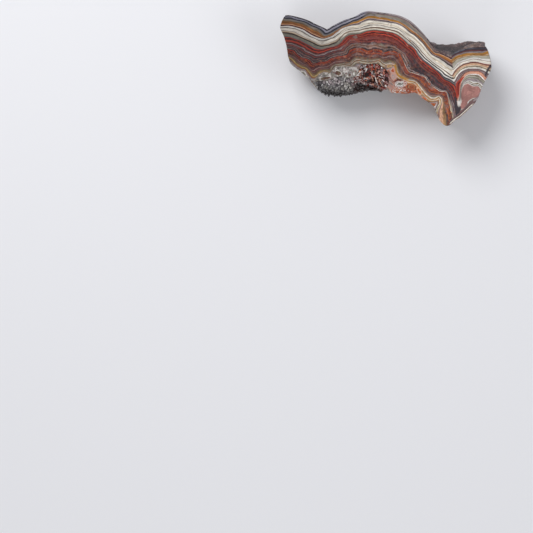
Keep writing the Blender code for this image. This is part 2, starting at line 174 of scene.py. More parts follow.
# The fronts where one group of layers ends and the next begins, from the skin inwards.
# The first five run on over the right lobe, the others end at the stone's lower right tip.
FRONTS = (
    ("rind foot",
     (270, 18), (281.8, 18.5), (289.7, 19.3), (296.9, 20.7), (302.6, 22.1), (307.6, 24.3), (313.4, 27.2),
     (319.1, 29.3), (322, 32.8), (324.7, 35.2), (329.2, 34), (333.5, 31.8), (338.5, 29), (343.5, 26.1),
     (348.6, 24.3), (353.6, 21.8), (358.6, 20.3), (362.2, 18.5), (366.5, 16.4), (371.5, 15.7), (378, 16.4),
     (384.5, 17.5), (391.7, 19.3), (400, 21.4), (406.1, 25.4), (413.3, 31.1), (419, 35.4), (423.3, 39),
     (426.2, 43.3), (430.5, 48.3), (434.8, 52.5), (440, 54.1), (445.5, 56.2), (449.9, 58.4), (452, 59.1),
     (456.3, 56.2), (462, 54.1), (467.1, 53), (474.2, 53.2), (481.4, 53.0), (487, 51), (500, 46)),
    ("ochre foot",
     (270, 26), (280, 26.1), (289.7, 26.1), (296.1, 27.5), (301.9, 29.3), (306.2, 31.8), (311.2, 34.7),
     (316.3, 36.9), (320.6, 38.3), (325.6, 38.3), (329.9, 36.9), (332.8, 35.4), (337.1, 31.8), (342.1, 28.2),
     (347.1, 26.1), (352.9, 25), (358.6, 24.3), (362.2, 22.1), (367.2, 20.3), (374.4, 20), (381.6, 21.1),
     (390.3, 22.5), (396, 23.6), (401.1, 25.4), (406.1, 29), (411.1, 33.3), (415.4, 36.1), (419.7, 40.4),
     (423.3, 44.7), (426.9, 49.1), (430.5, 53.4), (433.4, 55.5), (437.7, 57.7), (442, 60.5), (446.3, 63.8),
     (449.1, 65.9), (451.7, 67.7), (453.1, 68.4), (456.3, 63.8), (459.9, 61.3), (465, 59.5), (470.7, 58),
     (476.4, 57.7), (482.2, 58.4), (487.9, 59.1), (500, 59)),
    ("cream foot",
     (270, 29), (284.7, 29.7), (294, 30.7), (299, 32.5), (302.6, 34.7), (307.6, 37.6), (313.4, 40.1),
     (320, 43.4), (325, 43), (330, 41.4), (335, 39.4), (340, 36), (345, 31.8), (350, 29.8), (360, 28.6),
     (370, 26.1), (380, 26.1), (390, 28.1), (400, 31.1), (405, 35), (410, 39), (415, 43.6), (420, 49),
     (425, 55), (430, 59.8), (435, 63.4), (440, 67), (445, 70.6), (450, 74), (452, 75), (453.5, 72.4),
     (456.3, 68.8), (460.6, 65.2), (465.7, 63.1), (470.7, 62), (478, 62), (488, 64), (500, 66)),
    ("grey foot",
     (270, 33), (284, 32.9), (291.8, 33.6), (296.9, 35.4), (301.9, 37.6), (306.9, 39.9), (311.9, 42.1),
     (317.7, 44.9), (322, 46), (327, 45.2), (332.1, 43.6), (337.1, 41.2), (340.7, 37.8), (345, 34.2),
     (350, 32.2), (355, 31.4), (360, 30.7), (365, 29.4), (372, 28.6), (380, 28.9), (388, 30.4), (396, 32.3),
     (402, 36.2), (408, 42), (414, 47.6), (420, 55.7), (428, 63), (436, 69), (444, 76.3), (450, 78.8),
     (454.4, 82), (455.8, 80.5), (458.5, 75.5), (461.5, 72.3), (465, 70.3), (470.7, 69.4), (477, 69.4),
     (483, 71), (488, 75), (500, 80)),
    ("red top",
     (270, 36.9), (284.7, 36.9), (289.7, 37.2), (294.7, 38.6), (300, 40.4), (304.8, 43.3), (310, 45.8),
     (314.8, 48.3), (320.6, 49.8), (326.3, 48.3), (332.1, 46.9), (337.8, 45.1), (341.4, 42.6), (345, 38.3),
     (348.6, 35.8), (352.9, 35.4), (358.6, 34.3), (362.9, 33.3), (366.5, 31.5), (370.8, 30.7), (376.6, 30.7),
     (383, 31.1), (390, 32.5), (395.3, 34), (400, 36.9), (404.7, 41.2), (408.2, 44.7), (411.8, 46.9),
     (415.4, 49.8), (416.9, 54.1), (420.4, 58.4), (424.7, 62.5), (430, 66.5), (436.2, 71), (439.1, 73.9),
     (444.1, 79.6), (449.1, 81.8), (453.4, 84.7), (455.6, 88.3), (457.4, 97.6), (457.9, 88.3), (459.2, 83.2),
     (461.3, 77.8), (464.2, 74.2), (467.8, 72.1), (470.7, 71.6), (476.4, 71.3), (480.7, 72.1), (482.9, 74.1),
     (485, 77.2), (500, 85)),
    ("red foot",
     (270, 41), (288.3, 42.6), (293.3, 43.3), (300, 45.8), (306.2, 49.4), (311.9, 52.3), (317, 54.1),
     (322, 53.4), (327.7, 51.2), (333.5, 49.4), (339.2, 47.6), (343.5, 44.7), (347.1, 41.9), (350.7, 39),
     (356.5, 39), (363.6, 38.3), (370.8, 37.2), (378, 37.6), (384.5, 37.6), (390, 39), (395.3, 41.9),
     (400, 45.5), (406.1, 49.8), (411.8, 54.8), (416.1, 60.5), (419.7, 65.6), (424.7, 70.2), (430.5, 73.5),
     (436.2, 78.2), (439.8, 81.8), (444.1, 84.7), (447.7, 87.5), (450.6, 91.9), (452.7, 96.9), (454.9, 102.6),
     (456.3, 108.4), (456.7, 112.7), (457, 140)),
    ("mauve foot",
     (270, 45), (287.5, 49), (293.3, 50.5), (297.6, 54.8), (301.2, 57.7), (306.2, 59.1), (310, 61.3),
     (313.4, 63.8), (316.3, 63.4), (320.6, 62), (327, 61.3), (329.9, 59.1), (334.9, 57.7), (339.9, 56.2),
     (344.2, 55.9), (347.8, 54.1), (350, 50.5), (353.6, 48.3), (358.6, 47.6), (362.9, 48.3), (365.8, 50.5),
     (370, 50.4), (375, 49), (380, 50.2), (384.5, 51.9), (390, 50.5), (395.3, 51.2), (400, 54.1),
     (401.8, 58.4), (404.7, 64), (408.2, 71), (413.3, 73.1), (419, 75.3), (424.7, 77.5), (428.3, 81.8),
     (431.2, 86.1), (436.2, 89), (441.2, 91.9), (445.5, 91.9), (447.7, 96.2), (448.4, 103.3), (449.9, 110.5),
     (452, 117.7), (454, 140)),
    ("orange foot",
     (270, 50), (289.7, 54.1), (295.4, 56.9), (301.2, 61.3), (306.2, 64.1), (309.8, 67), (312.7, 69.2),
     (317.7, 66.3), (323.4, 65.6), (329.9, 64.1), (334.2, 60.5), (340, 60), (346, 60), (350, 58.5),
     (353.5, 55.8), (358, 55), (363, 55.5), (370, 57), (377, 56.5), (384, 58), (390, 57), (396, 59),
     (399, 64), (402, 70), (406, 75), (412, 77), (417.5, 79.5), (422, 84), (426, 89), (430, 93), (435, 94),
     (440, 94.8), (443.5, 97), (444.5, 103), (445, 110), (446.5, 118), (448, 140)),
    ("straw line",
     (270, 52), (288.3, 56.2), (293.3, 59.8), (296.9, 63.4), (301.2, 66.3), (306.2, 67.7), (309.1, 70.6),
     (311.6, 75), (314.1, 76.1), (316.6, 75), (319.1, 71.8), (323.4, 70.4), (327.7, 70.4), (330.3, 71.8),
     (332.1, 68.2), (334.9, 65.3), (339.2, 64.6), (344.2, 63.9), (349.3, 65), (353, 62.5), (356.5, 60.3),
     (362.2, 60.3), (370.1, 61.7), (378, 59.9), (381.6, 61.7), (385.2, 64.6), (390.3, 63.8), (395.3, 66),
     (396.4, 71.7), (398.9, 75.3), (403.9, 78.2), (409, 80.4), (414.7, 81.8), (419, 86.1), (422.6, 91.1),
     (426.2, 94.7), (430.5, 98.3), (435.5, 98.3), (439.1, 96.9), (441.2, 99.7), (441.2, 104), (439.8, 107),
     (438, 113), (437, 140)),
)
FRONTS_OVER_LOBE = 5
BEYOND_STONE = (260.0, 170.0)

# The fronts' own unevenness: size, seed and weight of its noise, and its height
FRONT_WOBBLE = ((5.5, 1, 1.0), (2.4, 11, 0.5))
WOBBLE_HEIGHT = 0.30

# The reddish layers, and how full of clouds the outer one and the plain layers are
RED_LAYERS = (5.5, 7.5)
OUTER_REDNESS, PLAIN_REDNESS = 0.3, 0.4

# The right lobe has layers of its own inside the red one
LOBE_EDGE = ((457.4, 97), (457.9, 88.3), (459.2, 83.2), (461.3, 77.8), (464.2, 74.2), (467.8, 72.1),
             (470.7, 71.6), (476.4, 71.3), (480.7, 72.1), (482.9, 74.1), (485, 77.2), (500, 85), (500, 140),
             (457.6, 140), (457.2, 112), (457.2, 104))
LOBE_LINE_POINTS = 12
LOBE_FRONTS = (
    ("salmon foot",
     (457.9, 101), (459.3, 94), (460.4, 86.5), (462, 80.8), (463.9, 77.8), (467.1, 74.9), (470.7, 73.9),
     (477.5, 73.9), (481.2, 75.8), (483.9, 78.9), (489, 84), (500, 90), (500, 140), (457.6, 140),
     (457.4, 112)),
    ("heart edge",
     (461.3, 99.7), (460.6, 94), (462, 88.3), (464.2, 84.7), (467.1, 83.6), (470.7, 85), (474, 86.5),
     (478.6, 86.1), (480.3, 88.5), (480, 92), (478, 96.5), (473, 98.5), (469, 101), (466, 106), (462.5, 109),
     (459.5, 107.5), (461, 103)),
)
HEART_REACH = 7.0

# Inside the last front the layers are this far apart
INNER_REACH = 6.0

# Eyes in the lace: middle, half width, half height, turn in degrees, and rings from the middle outwards
EYES = (
    (396.6, 90.2, 7, 3.8, -4, "mauve 14, orange 12, quartz_white 7, rust 10, orange 10, quartz_white 9, "
     "rose_grey 10, orange_red 10, pink 8, quartz_white 10"),
    (400.3, 84, 7.6, 4.6, -8, "slate 8, green_grey 18, quartz_grey 8, quartz_white 12, lilac 14, "
     "quartz_white 8, pink 10, red_dark 6, pink 16"),
    (411.8, 87.6, 6.4, 4.2, 12, "rust 16, orange 12, maroon 8, orange_red 14, tan 8, rust 12, orange 14, "
     "salmon_bright 8, pink 8"),
    (408.2, 90.6, 3.2, 2.4, 0, "quartz_white 14, salmon_bright 16, rust 24, orange_red 24, rust 22"),
    (405.2, 83.8, 2.2, 3.2, 10, "mauve_red 26, pink 24, quartz_white 20, orange_red 30"),
    (392.9, 70.4, 3.6, 4.2, 10, "orange_red 34, salmon_bright 12, pink 24, lilac 30"),
    (393.6, 76.6, 3.6, 4.6, -10, "pink 34, lilac 22, pink 44"),
    (389, 66.2, 4, 2.2, 0, "tan 30, ochre_pale 30, rose_grey 40"),
    (419.2, 91, 2, 4.6, -28, "rust 22, orange 44, peach 34"),
    (424.6, 98.4, 1.4, 3.4, -50, "orange 50, salmon_bright 50"),
)

# Small spots in the outer layers: middle, half width, half height, turn in degrees, and rings
SPOTS = (
    (388.7, 47.3, 2.4, 1.7, 10, "ink 70, plum 30"),
    (377.8, 44.3, 2.2, 0.8, 0, "brown 60, olive 40"),
    (372.1, 43.5, 3.4, 1.6, -10, "lilac 40, rose_grey 60"),
    (382.3, 44.8, 4, 1.5, 8, "green_grey 50, olive 50"),
    (366.6, 53, 1.8, 1.1, 0, "salmon_bright 40, orange_red 60"),
    (373.4, 52.4, 2.2, 0.9, -12, "salmon_bright 40, orange_red 60"),
    (360.7, 47.3, 1.6, 0.7, 8, "lilac 60, rose_grey 40"),
    (354.8, 36.8, 4, 2.4, -8, "rose_grey 60, mauve_red 40"),
    (350.8, 58.2, 1.6, 2.2, 0, "red_dark 50, maroon 50"),
    (379.8, 17.8, 1.6, 0.8, 0, "salmon_bright 50, peach 50"),
    (407.3, 45.3, 1, 2.2, -45, "salmon_bright 50, red_bright 50"),
    (409.9, 40.7, 1, 2, -45, "tan 50, peach 50"),
    (420.8, 60.5, 1, 2.4, -25, "salmon_bright 50, red_bright 50"),
    (429.5, 84.1, 1.4, 1.9, -20, "orange 50, red 50"),
    (435, 90.2, 1.9, 1.2, 20, "orange 60, orange_red 40"),
    (449.5, 106.8, 1.1, 2.2, -8, "orange 60, rust 40"),
    (451, 112.4, 0.9, 1.8, -15, "peach 40, orange 60"),
    (408.6, 66.4, 1.5, 2.2, -20, "slate 50, lilac 50"),
    (321, 60.8, 1.6, 0.8, -15, "salmon_bright 50, orange 50"),
    (305.4, 60.4, 1.8, 0.9, 35, "orange 50, orange_red 50"),
)
QUARTZ_FIELD = ((314, 84), (315.5, 78.5), (319, 74.0), (323.4, 72.4), (329, 73), (332.5, 70.5), (335.5, 66.8),
                (340, 66.2), (346, 66.4), (352, 66.5), (357, 67.0), (358.6, 73), (354, 82), (335, 86))

QUARTZ_SOFTNESS = 2.4

# Small natural pits: depth, middle, half length, half width, turn in degrees and how square they are
PITS = ((0.0010, 325.4, 78.7, 4.9, 1.7, -8.0, 3.0), (0.0012, 338.1, 73.2, 2.9, 2.0, 24.0, 3.0),
        (0.0007, 349.9, 74.9, 1.6, 1.0, 40.0, 2.0), (0.0006, 341, 78.6, 2.0, 0.8, -10.0, 2.0),
        (0.0004, 346.2, 73.4, 1.1, 0.7, 10.0, 2.0))

# Gaps between the pocket's crystals, where the bed shows dark with painted shade: middle, half width, half
# height and turn in degrees
POCKET_HOLES = ((366.3, 74.8, 3.6, 2.4, -20), (386.2, 73.0, 1.8, 2.6, 20), (386.6, 79.0, 2.2, 3.0, 0),
                (371.0, 80.8, 6.0, 1.7, 8), (363.4, 68.4, 1.8, 2.0, 0), (375.6, 78.0, 1.5, 2.2, 20))

# Blades of quartz in the pocket: both ends, width and shade
BLADES = (
    (353.8, 78, 364, 69.8, 1.5, 0.08), (364.6, 71.4, 367, 66.4, 1.5, 0.86),
    (368, 66, 368.8, 71.6, 1.2, 0.28), (371.2, 64.8, 371.8, 71.6, 2.4, 0.64), (374.2, 65, 375, 71, 1.6, 0.6),
    (375.6, 68.6, 379, 68.2, 2.3, 0.26), (376.4, 65, 378.6, 65.4, 1.3, 0.53),
    (380, 68.4, 384.4, 71, 1.2, 0.7), (369.8, 73.6, 374, 76.8, 1.6, 0.56),
    (371.4, 74.6, 373.4, 79.4, 1.2, 0.45), (375, 75.6, 378.2, 84.6, 1.3, 0.1),
    (378.2, 77.6, 383.6, 86.6, 1.1, 0.45), (379.6, 72.4, 383.8, 74.4, 1.5, 0.05),
    (379.2, 75.6, 384.4, 77.4, 1, 0.82), (380.6, 79.6, 384.2, 82.8, 1.4, 0.1),
    (385.4, 83.6, 387.4, 87, 2.2, 0.14), (356.6, 80.4, 363.4, 79.2, 1.1, 0.74),
    (360.4, 73.4, 362.6, 70.6, 1.2, 0.74), (360.6, 68.6, 364.6, 66, 1.4, 0.72),
    (367.8, 82.2, 371.4, 83.6, 1.1, 0.12), (372.4, 83.8, 376.4, 84.8, 1.2, 0.46),
    (388, 75.4, 388.2, 81, 1.2, 0.68), (379.4, 85.4, 386.4, 88.6, 1.4, 0.66),
    (364.6, 77.4, 370.6, 78.6, 0.9, 0.84),
)
BLADE_DEPTH = 0.0075
BLADE_LEAN = 0.12
BLADE_SHOULDER = 0.90
BLADE_SEED = 31

# The lines under which the pocket and the slope are painted with shade, where the pocket begins, and how dark
# the painted shade gets at most
POCKET_FOOT = ((344, 90), (352, 84), (356.7, 81.6), (367.4, 84), (376.6, 86), (384.8, 89.6), (392, 91.5))
DRUSE_FOOT = ((308, 80), (316, 87), (324, 90.5), (336, 92.5), (348, 93), (360, 92))
POCKET_FROM, POCKET_CHANGE = 350, 8
DEEPEST_PAINTED_SHADE = 0.93

# The bed that the crystals grow from: its rows, depths, thickness and border, in metres or steps
BED_SPACING = 0.0008
BED_MARGIN = 3
BED_ROWS = 44
BED_TOP = 0.0010
BED_FOOT = 0.031
BED_FOOT_WAVE = 0.0016
WALL_ROWS = (0.0006, 0.0345, 70)
BED_SINK = 0.0006
BED_THICKNESS = 0.0018
BED_LUMPS = 0.0006
BED_BORDER = 6.0
BED_UNDER_FACE = 0.0005
BED_WINDOW = 0.010
BED_SHADE = 0.1

# The crystals: how they stand, how slim they are, how close they may grow, and where their shoulder is
CRYSTAL_SEED = 23
CRYSTAL_LEAN, POCKET_LEAN = 0.30, 0.30
SLIMNESS = (1.2, 2.2)
CLOSEST = 0.74
ASKEW = (0.31, 0.87, 0.38)
CRYSTAL_SHOULDER = 0.48
CRYSTAL_UNDER_FACE = 0.0002
UNEVEN_SEED = 29
UNEVENNESS = (0.72, 1.12)
CUT_CAP_CORE, TIP_CORE = 0.72, 0.05
SHARP_CRYSTAL = 8.0

# Small patches of the lace near the right lobe, each with its colour and its outline
PATCHES = (
    ("red_bright",
     ((463.2, 76.6), (459.8, 79.4), (456.8, 81.9), (455.8, 84.1), (456.4, 89.5), (457.3, 95.6),
      (458.2, 98.4), (459.2, 95.6), (459.6, 89.5), (459.8, 85.9), (460.7, 82.7), (462.4, 79.8),
      (464.6, 77.2))),
    ("red_dark",
     ((459.6, 81), (457.6, 83.6), (457.4, 89), (458.1, 94.5), (458.9, 94.5), (458.6, 89), (458.8, 84.5),
      (460.4, 82))),
    ("grey",
     ((461.4, 82.8), (460.5, 86), (460.2, 91), (460, 97), (460.4, 99.8), (461.2, 97), (461.3, 91),
      (461.7, 86.6), (462.8, 83.4))),
    ("slate",
     ((454.2, 96), (456.6, 99), (457.6, 105.5), (458.6, 107.2), (460.4, 105.6), (461.2, 108.6),
      (460.2, 112.4), (456.4, 116), (454.6, 106))),
    ("quartz_white",
     ((457, 100.8), (461, 101), (460.2, 104), (458.8, 106.4), (457.6, 104))),
    ("mauve",
     ((481.4, 88.6), (478.2, 95.8), (474, 98.8), (470, 101), (466.8, 104.6), (463.4, 108.4), (459.6, 111.4),
      (460, 115.6), (463, 115.4), (470.6, 109.2), (476.5, 103.6), (480.5, 96))),
    ("lilac",
     ((479.9, 91.4), (477.6, 97), (473.6, 100), (473, 101.6), (477.2, 99.6), (480.2, 94.4))),
    ("plum",
     ((466.6, 107.4), (463, 112), (459.6, 116), (461.4, 116.4), (466, 112.2), (468.4, 108.6))),
    ("slate",
     ((491.4, 62.6), (491.8, 66.5), (488.9, 70), (487.2, 74), (486, 77), (484.7, 75), (486.2, 70.5),
      (488, 67.2), (489.8, 65.2))),
    ("gold",
     ((393.9, 65), (395.6, 64), (396.8, 67), (397.2, 71.5), (399.4, 74.6), (403.6, 76.9), (408.8, 78.8),
      (408.4, 80), (402.8, 78.6), (398.2, 76.2), (395.6, 73), (394.9, 69))),
    ("red_dark",
     ((394.4, 81.4), (396.6, 79.4), (400, 78.8), (402.8, 79.7), (402.4, 80.9), (399.6, 80.2), (396.8, 80.9),
      (395, 82.4))),
)
PATCH_SOFTNESS = 1.0

# The strip along the lobe's foot: its outline, the line it runs along, and its bands across
STRIP = ((475.2, 103), (470.6, 108.9), (461.2, 117.6), (455.6, 121.2), (450.2, 126), (449.2, 121),
         (454.4, 116.8), (460, 112.6), (466, 108.2), (471.6, 104.2))
STRIP_LINE = STRETCHES[6][2]
STRIP_WIDTH = 3.0
STRIP_SOFTNESS = 0.8
STRIP_ZONE = "cream_warm 26, rose_grey 10, cream 20, brown 10, slate 16, mauve 18"

# The line that parts the right lobe's layers from the rest
LOBE_PARTING = ((452, 40), (452, 59.1), (453.1, 68.4), (452, 75), (454.4, 82), (457.4, 97.6), (457.4, 130))
PARTING_SOFTNESS = 1.2
TIP_FROM = (430, 96)

# Colours, as red, green and blue out of 255
PALETTE = {
    "rind": (88, 86, 98), "rind_dark": (40, 38, 46), "rind_pale": (152, 150, 166),
    "ochre": (160, 104, 52), "ochre_pale": (186, 150, 108), "gold": (172, 122, 52), "rust": (112, 62, 50),
    "cream": (228, 221, 210), "cream_warm": (202, 186, 164), "grey": (108, 100, 94),
    "green_grey": (138, 134, 122), "ink": (42, 38, 40), "red": (134, 42, 38), "red_bright": (172, 60, 44),
    "red_dark": (76, 26, 30), "mauve": (112, 86, 86), "mauve_dark": (72, 54, 62), "mauve_red": (128, 64, 60),
    "orange_red": (158, 74, 46), "orange": (184, 98, 52), "straw": (204, 176, 112), "tan": (160, 126, 88),
    "green_pale": (176, 170, 156),
    "quartz_white": (220, 216, 212), "quartz_grey": (118, 114, 114), "pink": (190, 150, 138),
    "salmon": (158, 111, 105), "salmon_bright": (208, 140, 120), "peach": (214, 170, 140),
    "slate": (62, 54, 60), "lilac": (156, 144, 146), "maroon": (98, 52, 52), "plum": (82, 56, 64),
    "olive": (124, 106, 80), "brown": (104, 76, 62), "rose_grey": (142, 120, 114), "yellow": (194, 138, 60),
    "skin_dark": (40, 36, 40), "skin_grey": (88, 80, 86), "skin_rust": (104, 60, 48),
    # The shade colour is painted in the hollow and between the crystals, as shade
    "skin_sand": (138, 116, 96), "bed_dark": (30, 24, 24), "floor": (236, 236, 239),
}

# The bands of each layer group, from its outer front to its inner one, with their widths in hundredths.
# They change along the stone, so there is one list for each stretch of it.
LEFT_ZONES = (
    "rind_pale 20, rind_dark 14, rind_pale 30, rind_dark 20, rind 16",
    "green_grey 12, rose_grey 10, olive 12, ochre 18, rust 7, ochre 14, peach 8, rust 6, red_dark 13",
    "quartz_white 38, grey 20, cream 42",
    "cream 24, lilac 18, cream_warm 36, brown 22",
    "ink 23, green_grey 49, quartz_grey 28",
    "red_bright 20, red_dark 24, ink 5, red_bright 28, red 7, red_dark 16",
    "mauve 12, lilac 8, plum 13, mauve_red 10, slate 12, mauve 13, slate 14, rose_grey 6, slate 12",
    "red_bright 18, red_dark 24, orange_red 18, red_dark 20, maroon 20",
    "red_dark 13, mauve 16, rose_grey 8, maroon 14, mauve 15, brown 12, olive 22",
    "straw 14, tan 10, ochre 8, brown 8, lilac 20, quartz_white 20, green_grey 20",
    "lilac 25, quartz_white 25, quartz_grey 16, quartz_white 34",
    "lilac 50, quartz_white 50",
)
MIDDLE_ZONES = (
    "rind 14, lilac 14, rind_dark 9, rose_grey 22, green_grey 28, lilac 13",
    "olive 7, gold 42, orange 7, cream_warm 8, lilac 8, mauve_dark 18, lilac 10",
    "mauve_dark 7, cream 40, cream_warm 12, cream 19, grey 12, cream 10",
    "cream 44, brown 40, cream_warm 16",
    "cream 44, green_grey 40, maroon 16",
    "red_bright 24, red_dark 20, red_bright 20, red_dark 13, red 12, mauve_red 11",
    "mauve_red 18, red_dark 9, mauve_red 12, plum 12, rose_grey 14, brown 10, rose_grey 11, slate 14",
    "orange_red 20, red 12, mauve 14, orange_red 14, maroon 10, mauve 18, rose_grey 12",
    "mauve_dark 20, brown 14, slate 12, olive 18, green_grey 14, brown 8, green_pale 14",
    "brown 10, olive 10, green_pale 20, olive 12, quartz_grey 22, lilac 26",
    "rose_grey 40, lilac 30, pink 30",
    "lilac 50, pink 50",
)
RIGHT_ZONES = (
    "rind 14, mauve_dark 20, rose_grey 16, maroon 14, mauve 12, rind_dark 24",
    "peach 12, ochre 34, rust 14, rose_grey 20, slate 20",
    "cream 34, cream_warm 20, cream 46",
    "brown 20, cream 26, ink 26, quartz_white 28",
    "slate 40, quartz_grey 28, slate 16, maroon 16",
    "red_bright 24, ink 17, red 24, ink 15, mauve_red 20",
    "slate 30, plum 16, slate 20, rind_dark 12, lilac 8, ink 8, cream 6",
    "orange_red 20, maroon 12, mauve_red 12, orange_red 16, maroon 14, orange 10, mauve 16",
    "mauve 16, brown 12, maroon 8, rose_grey 14, olive 14, green_pale 14, cream 22",
    "yellow 16, ochre_pale 12, cream 9, yellow 8, tan 15, brown 9, lilac 8, pink 10, orange 13",
    "orange 18, rust 12, orange_red 16, pink 14, orange 14, quartz_white 10, rose_grey 16",
    "pink 20, orange 16, lilac 18, rust 14, pink 14, green_grey 18",
)
FAR_ZONES = (
    "mauve_dark 18, rind 10, slate 24, maroon 12, plum 10, lilac 14, rose_grey 12",
    "gold 22, ochre 12, ochre_pale 18, olive 6, green_pale 42",
    "quartz_white 34, rose_grey 14, cream 52",
    "mauve_red 12, brown 8, peach 22, cream_warm 14, olive 12, cream 10, quartz_white 12, mauve 10",
    "mauve 24, lilac 16, slate 12, rose_grey 28, mauve_red 20",
)
LOBE_ZONES = (
    "salmon_bright 20, peach 22, salmon_bright 22, peach 18, salmon_bright 18",
    "quartz_white 12, olive 7, green_pale 12, green_grey 12, lilac 20, quartz_white 9, olive 7, "
    "quartz_white 7, olive 6, quartz_white 8",
    "salmon 100",
)
# The layers from the fifth one inwards, in the stone's lower right tip
TIP_ZONES = (
    "plum 40, slate 60",
    "slate 24, lilac 12, plum 12, lilac 12, green_grey 14, cream_warm 12, olive 14",
    "mauve_red 16, orange_red 16, brown 16, orange 14, mauve 20, brown 18",
    "olive 10, tan 30, peach 38, rose_grey 22",
    "cream_warm 12, straw 10, cream 14, olive 8, brown 8, lilac 14, quartz_white 12, plum 8, orange 14",
    "orange 30, tan 40, peach 30",
)
BAND_SOFTNESS = 0.12
WIDEST_CHANGE = 8.0

# Where one list gives way to the next on the sheet, and how sharp and ragged the borders are
LEFT_TO_MIDDLE = (336.0, 352.0)
MIDDLE_TO_RIGHT = (398.0, 418.0)
ZONE_SHARPNESS = 40.0
ZONE_RAGGEDNESS = 26.0
INNER_ZONES_AHEAD = 20.0
RIND_ZONES_BEHIND = 24.0

# How far the lace wanders inside the stone: height, size and seed of its noise, and where it is full
DRIFTS = ((0.0105, 0.020, 51), (0.0026, 0.007, 53))
DRIFT_DEPTH = 0.022
PATTERN_TUCK = 0.0006
RIM_STEP = 6

# Clouds in the reddish layers: colour, where the cloud is full, and the size and shape of its noise
RED_CLOUDS = (("orange", 0.62, 0.0016, 3.0, 0.6, 0.4), ("red_dark", 0.64, 0.0024, 3.0, 0.6, 0.4, 0.3),
              ("rose_grey", 0.66, 0.0040, 4.0, 0.6, 0.6, 0.9))
CLOUD_STRENGTH = 0.45
FULL_REDS = (328.0, 348.0)

# Streaks along the bands, the rings of eyes and spots, and the painted shade that darkens the colours towards
# the left
STREAK_PITCH = (0.06, 0.06, 0.0)
STREAKS_PER_LAYER = 2.3
THIN_LINES = ((0.44, (1, 1, 1)), (0.485, (0.45, 0.42, 0.42)), (0.53, (1, 1, 1)), (0.57, (1, 1, 1)),
              (0.60, (0.55, 0.5, 0.5)), (0.64, (1, 1, 1)))
SPOT_SHARPNESS, EYE_SHARPNESS = 1.9, 6.0
LEFT_SHADE_SPAN = (280.0, 490.0)
LEFT_SHADE_FACTORS = ((0.0, (0.56, 0.55, 0.54)), (0.12, (0.63, 0.62, 0.61)), (0.28, (0.78, 0.77, 0.75)),
                  (0.5, (0.95, 0.94, 0.92)), (1.0, (1.0, 1.0, 0.99)))

# Colours by the value of a noise or of a crystal's shade
PIT_RIM = ((0.0, (0, 0, 0)), (0.16, (0.9, 0.9, 0.9)), (0.4, (0.9, 0.9, 0.9)), (0.5, (0, 0, 0)))
QUARTZ_GRAINS = "0.26 slate, 0.38 quartz_grey, 0.48 green_grey, 0.55 lilac, 0.63 quartz_white"
SKIN_COLOURS = "0.34 skin_dark, 0.47 skin_grey, 0.60 rose_grey, 0.74 lilac"
ROSE_POINTS = ("0.0 quartz_white, 0.22 quartz_white, 0.25 slate, 0.33 quartz_grey, 0.36 pink, 0.50 peach, "
               "0.53 salmon_bright, 0.60 orange_red, 0.66 red, 0.70 lilac, 0.84 quartz_white, 1.0 lilac")
GREY_POINTS = ("0.0 slate, 0.20 quartz_grey, 0.36 lilac, 0.50 quartz_white, 0.62 quartz_grey, 0.78 cream, "
               "1.0 quartz_white")

# Stains on the skin: colour, strength, where the cloud starts and is full, and the shape of its noise
SKIN_STAINS = (("skin_rust", 0.70, 0.44, 0.60, 0.009, 4.0, 0.6, 0.5, 0.2),
               ("skin_sand", 0.50, 0.50, 0.64, 0.013, 4.0, 0.6, 0.5, 0.9),
               ("skin_dark", 0.45, 0.44, 0.62, 0.016, 3.0, 0.6, 0.5, 0.5))

# Quartz's refraction, the sky, the camera's sensor in millimetres, and its view's middle on the sheet
QUARTZ_IOR = 1.54
SKY_COLOUR = (0.93, 0.95, 1.0, 1.0)
SENSOR_WIDTH = 36.0
VIEW_MIDDLE = (266.5, 266.5)


def paint(colour):
    """A colour out of 255 as linear red, green and blue."""
    shares = [part / 255 for part in colour]
    return tuple(share / 12.92 if share <= 0.04045 else ((share + 0.055) / 1.055) ** 2.4 for share in shares)


# Shapes: sheets, curves and fields

def smoothstep(value):
    """0 up to nothing and 1 from one on, with a soft rise of 3t^2 - 2t^3 between."""
    held = np.clip(value, 0.0, 1.0)
    return held * held * (3 - 2 * held)


def from_sheet(points):
    """Sheet points, right and down, as metres in the stone's own X and Y."""
    points = np.asarray(points, float)
    return np.column_stack([points[:, 0] - SHEET_ORIGIN[0], SHEET_ORIGIN[1] - points[:, 1]]) * STEP


def to_sheet(points):
    """Metres in the stone's own X and Y as sheet points."""
    return np.column_stack([points[:, 0] / STEP + SHEET_ORIGIN[0], SHEET_ORIGIN[1] - points[:, 1] / STEP])


def smooth_curve(points, shares=None, spacing=1.5):
    """Points of a Catmull-Rom curve through the given ones, at shares of its length or evenly spaced."""
    points = np.asarray(points, float)
    ends = np.vstack([2 * points[0] - points[1], points, 2 * points[-1] - points[-2]])
    t = np.arange(0, 1, 0.1)[None, :, None]
    before, start, stop, after = (ends[i:len(ends) - 3 + i][:, None, :] for i in range(4))
    fine = 0.5 * (2 * start + (stop - before) * t + (2 * before - 5 * start + 4 * stop - after) * t ** 2
                  + (3 * start - before - 3 * stop + after) * t ** 3)
    fine = np.vstack([fine.reshape(-1, 2), points[-1:]])
    length = np.concatenate([[0], np.cumsum(np.linalg.norm(np.diff(fine, axis=0), axis=1))])
    if shares is None:
        shares = np.linspace(0, 1, max(2, round(length[-1] / spacing)))
    wanted = np.asarray(shares) * length[-1]
    return np.column_stack([np.interp(wanted, length, fine[:, axis]) for axis in (0, 1)]), length[-1]


def distance(points, line):
    """Each point's distance to the nearest stretch of a line of straight stretches."""
    nearest = np.full(len(points), np.inf)
    for start, stop in zip(line, line[1:]):
        along = stop - start
        share = np.clip((points - start) @ along / max(along @ along, 1e-12), 0, 1)
        offset = points - start - share[:, None] * along
        nearest = np.minimum(nearest, np.einsum("ij,ij->i", offset, offset))
    return np.sqrt(nearest)


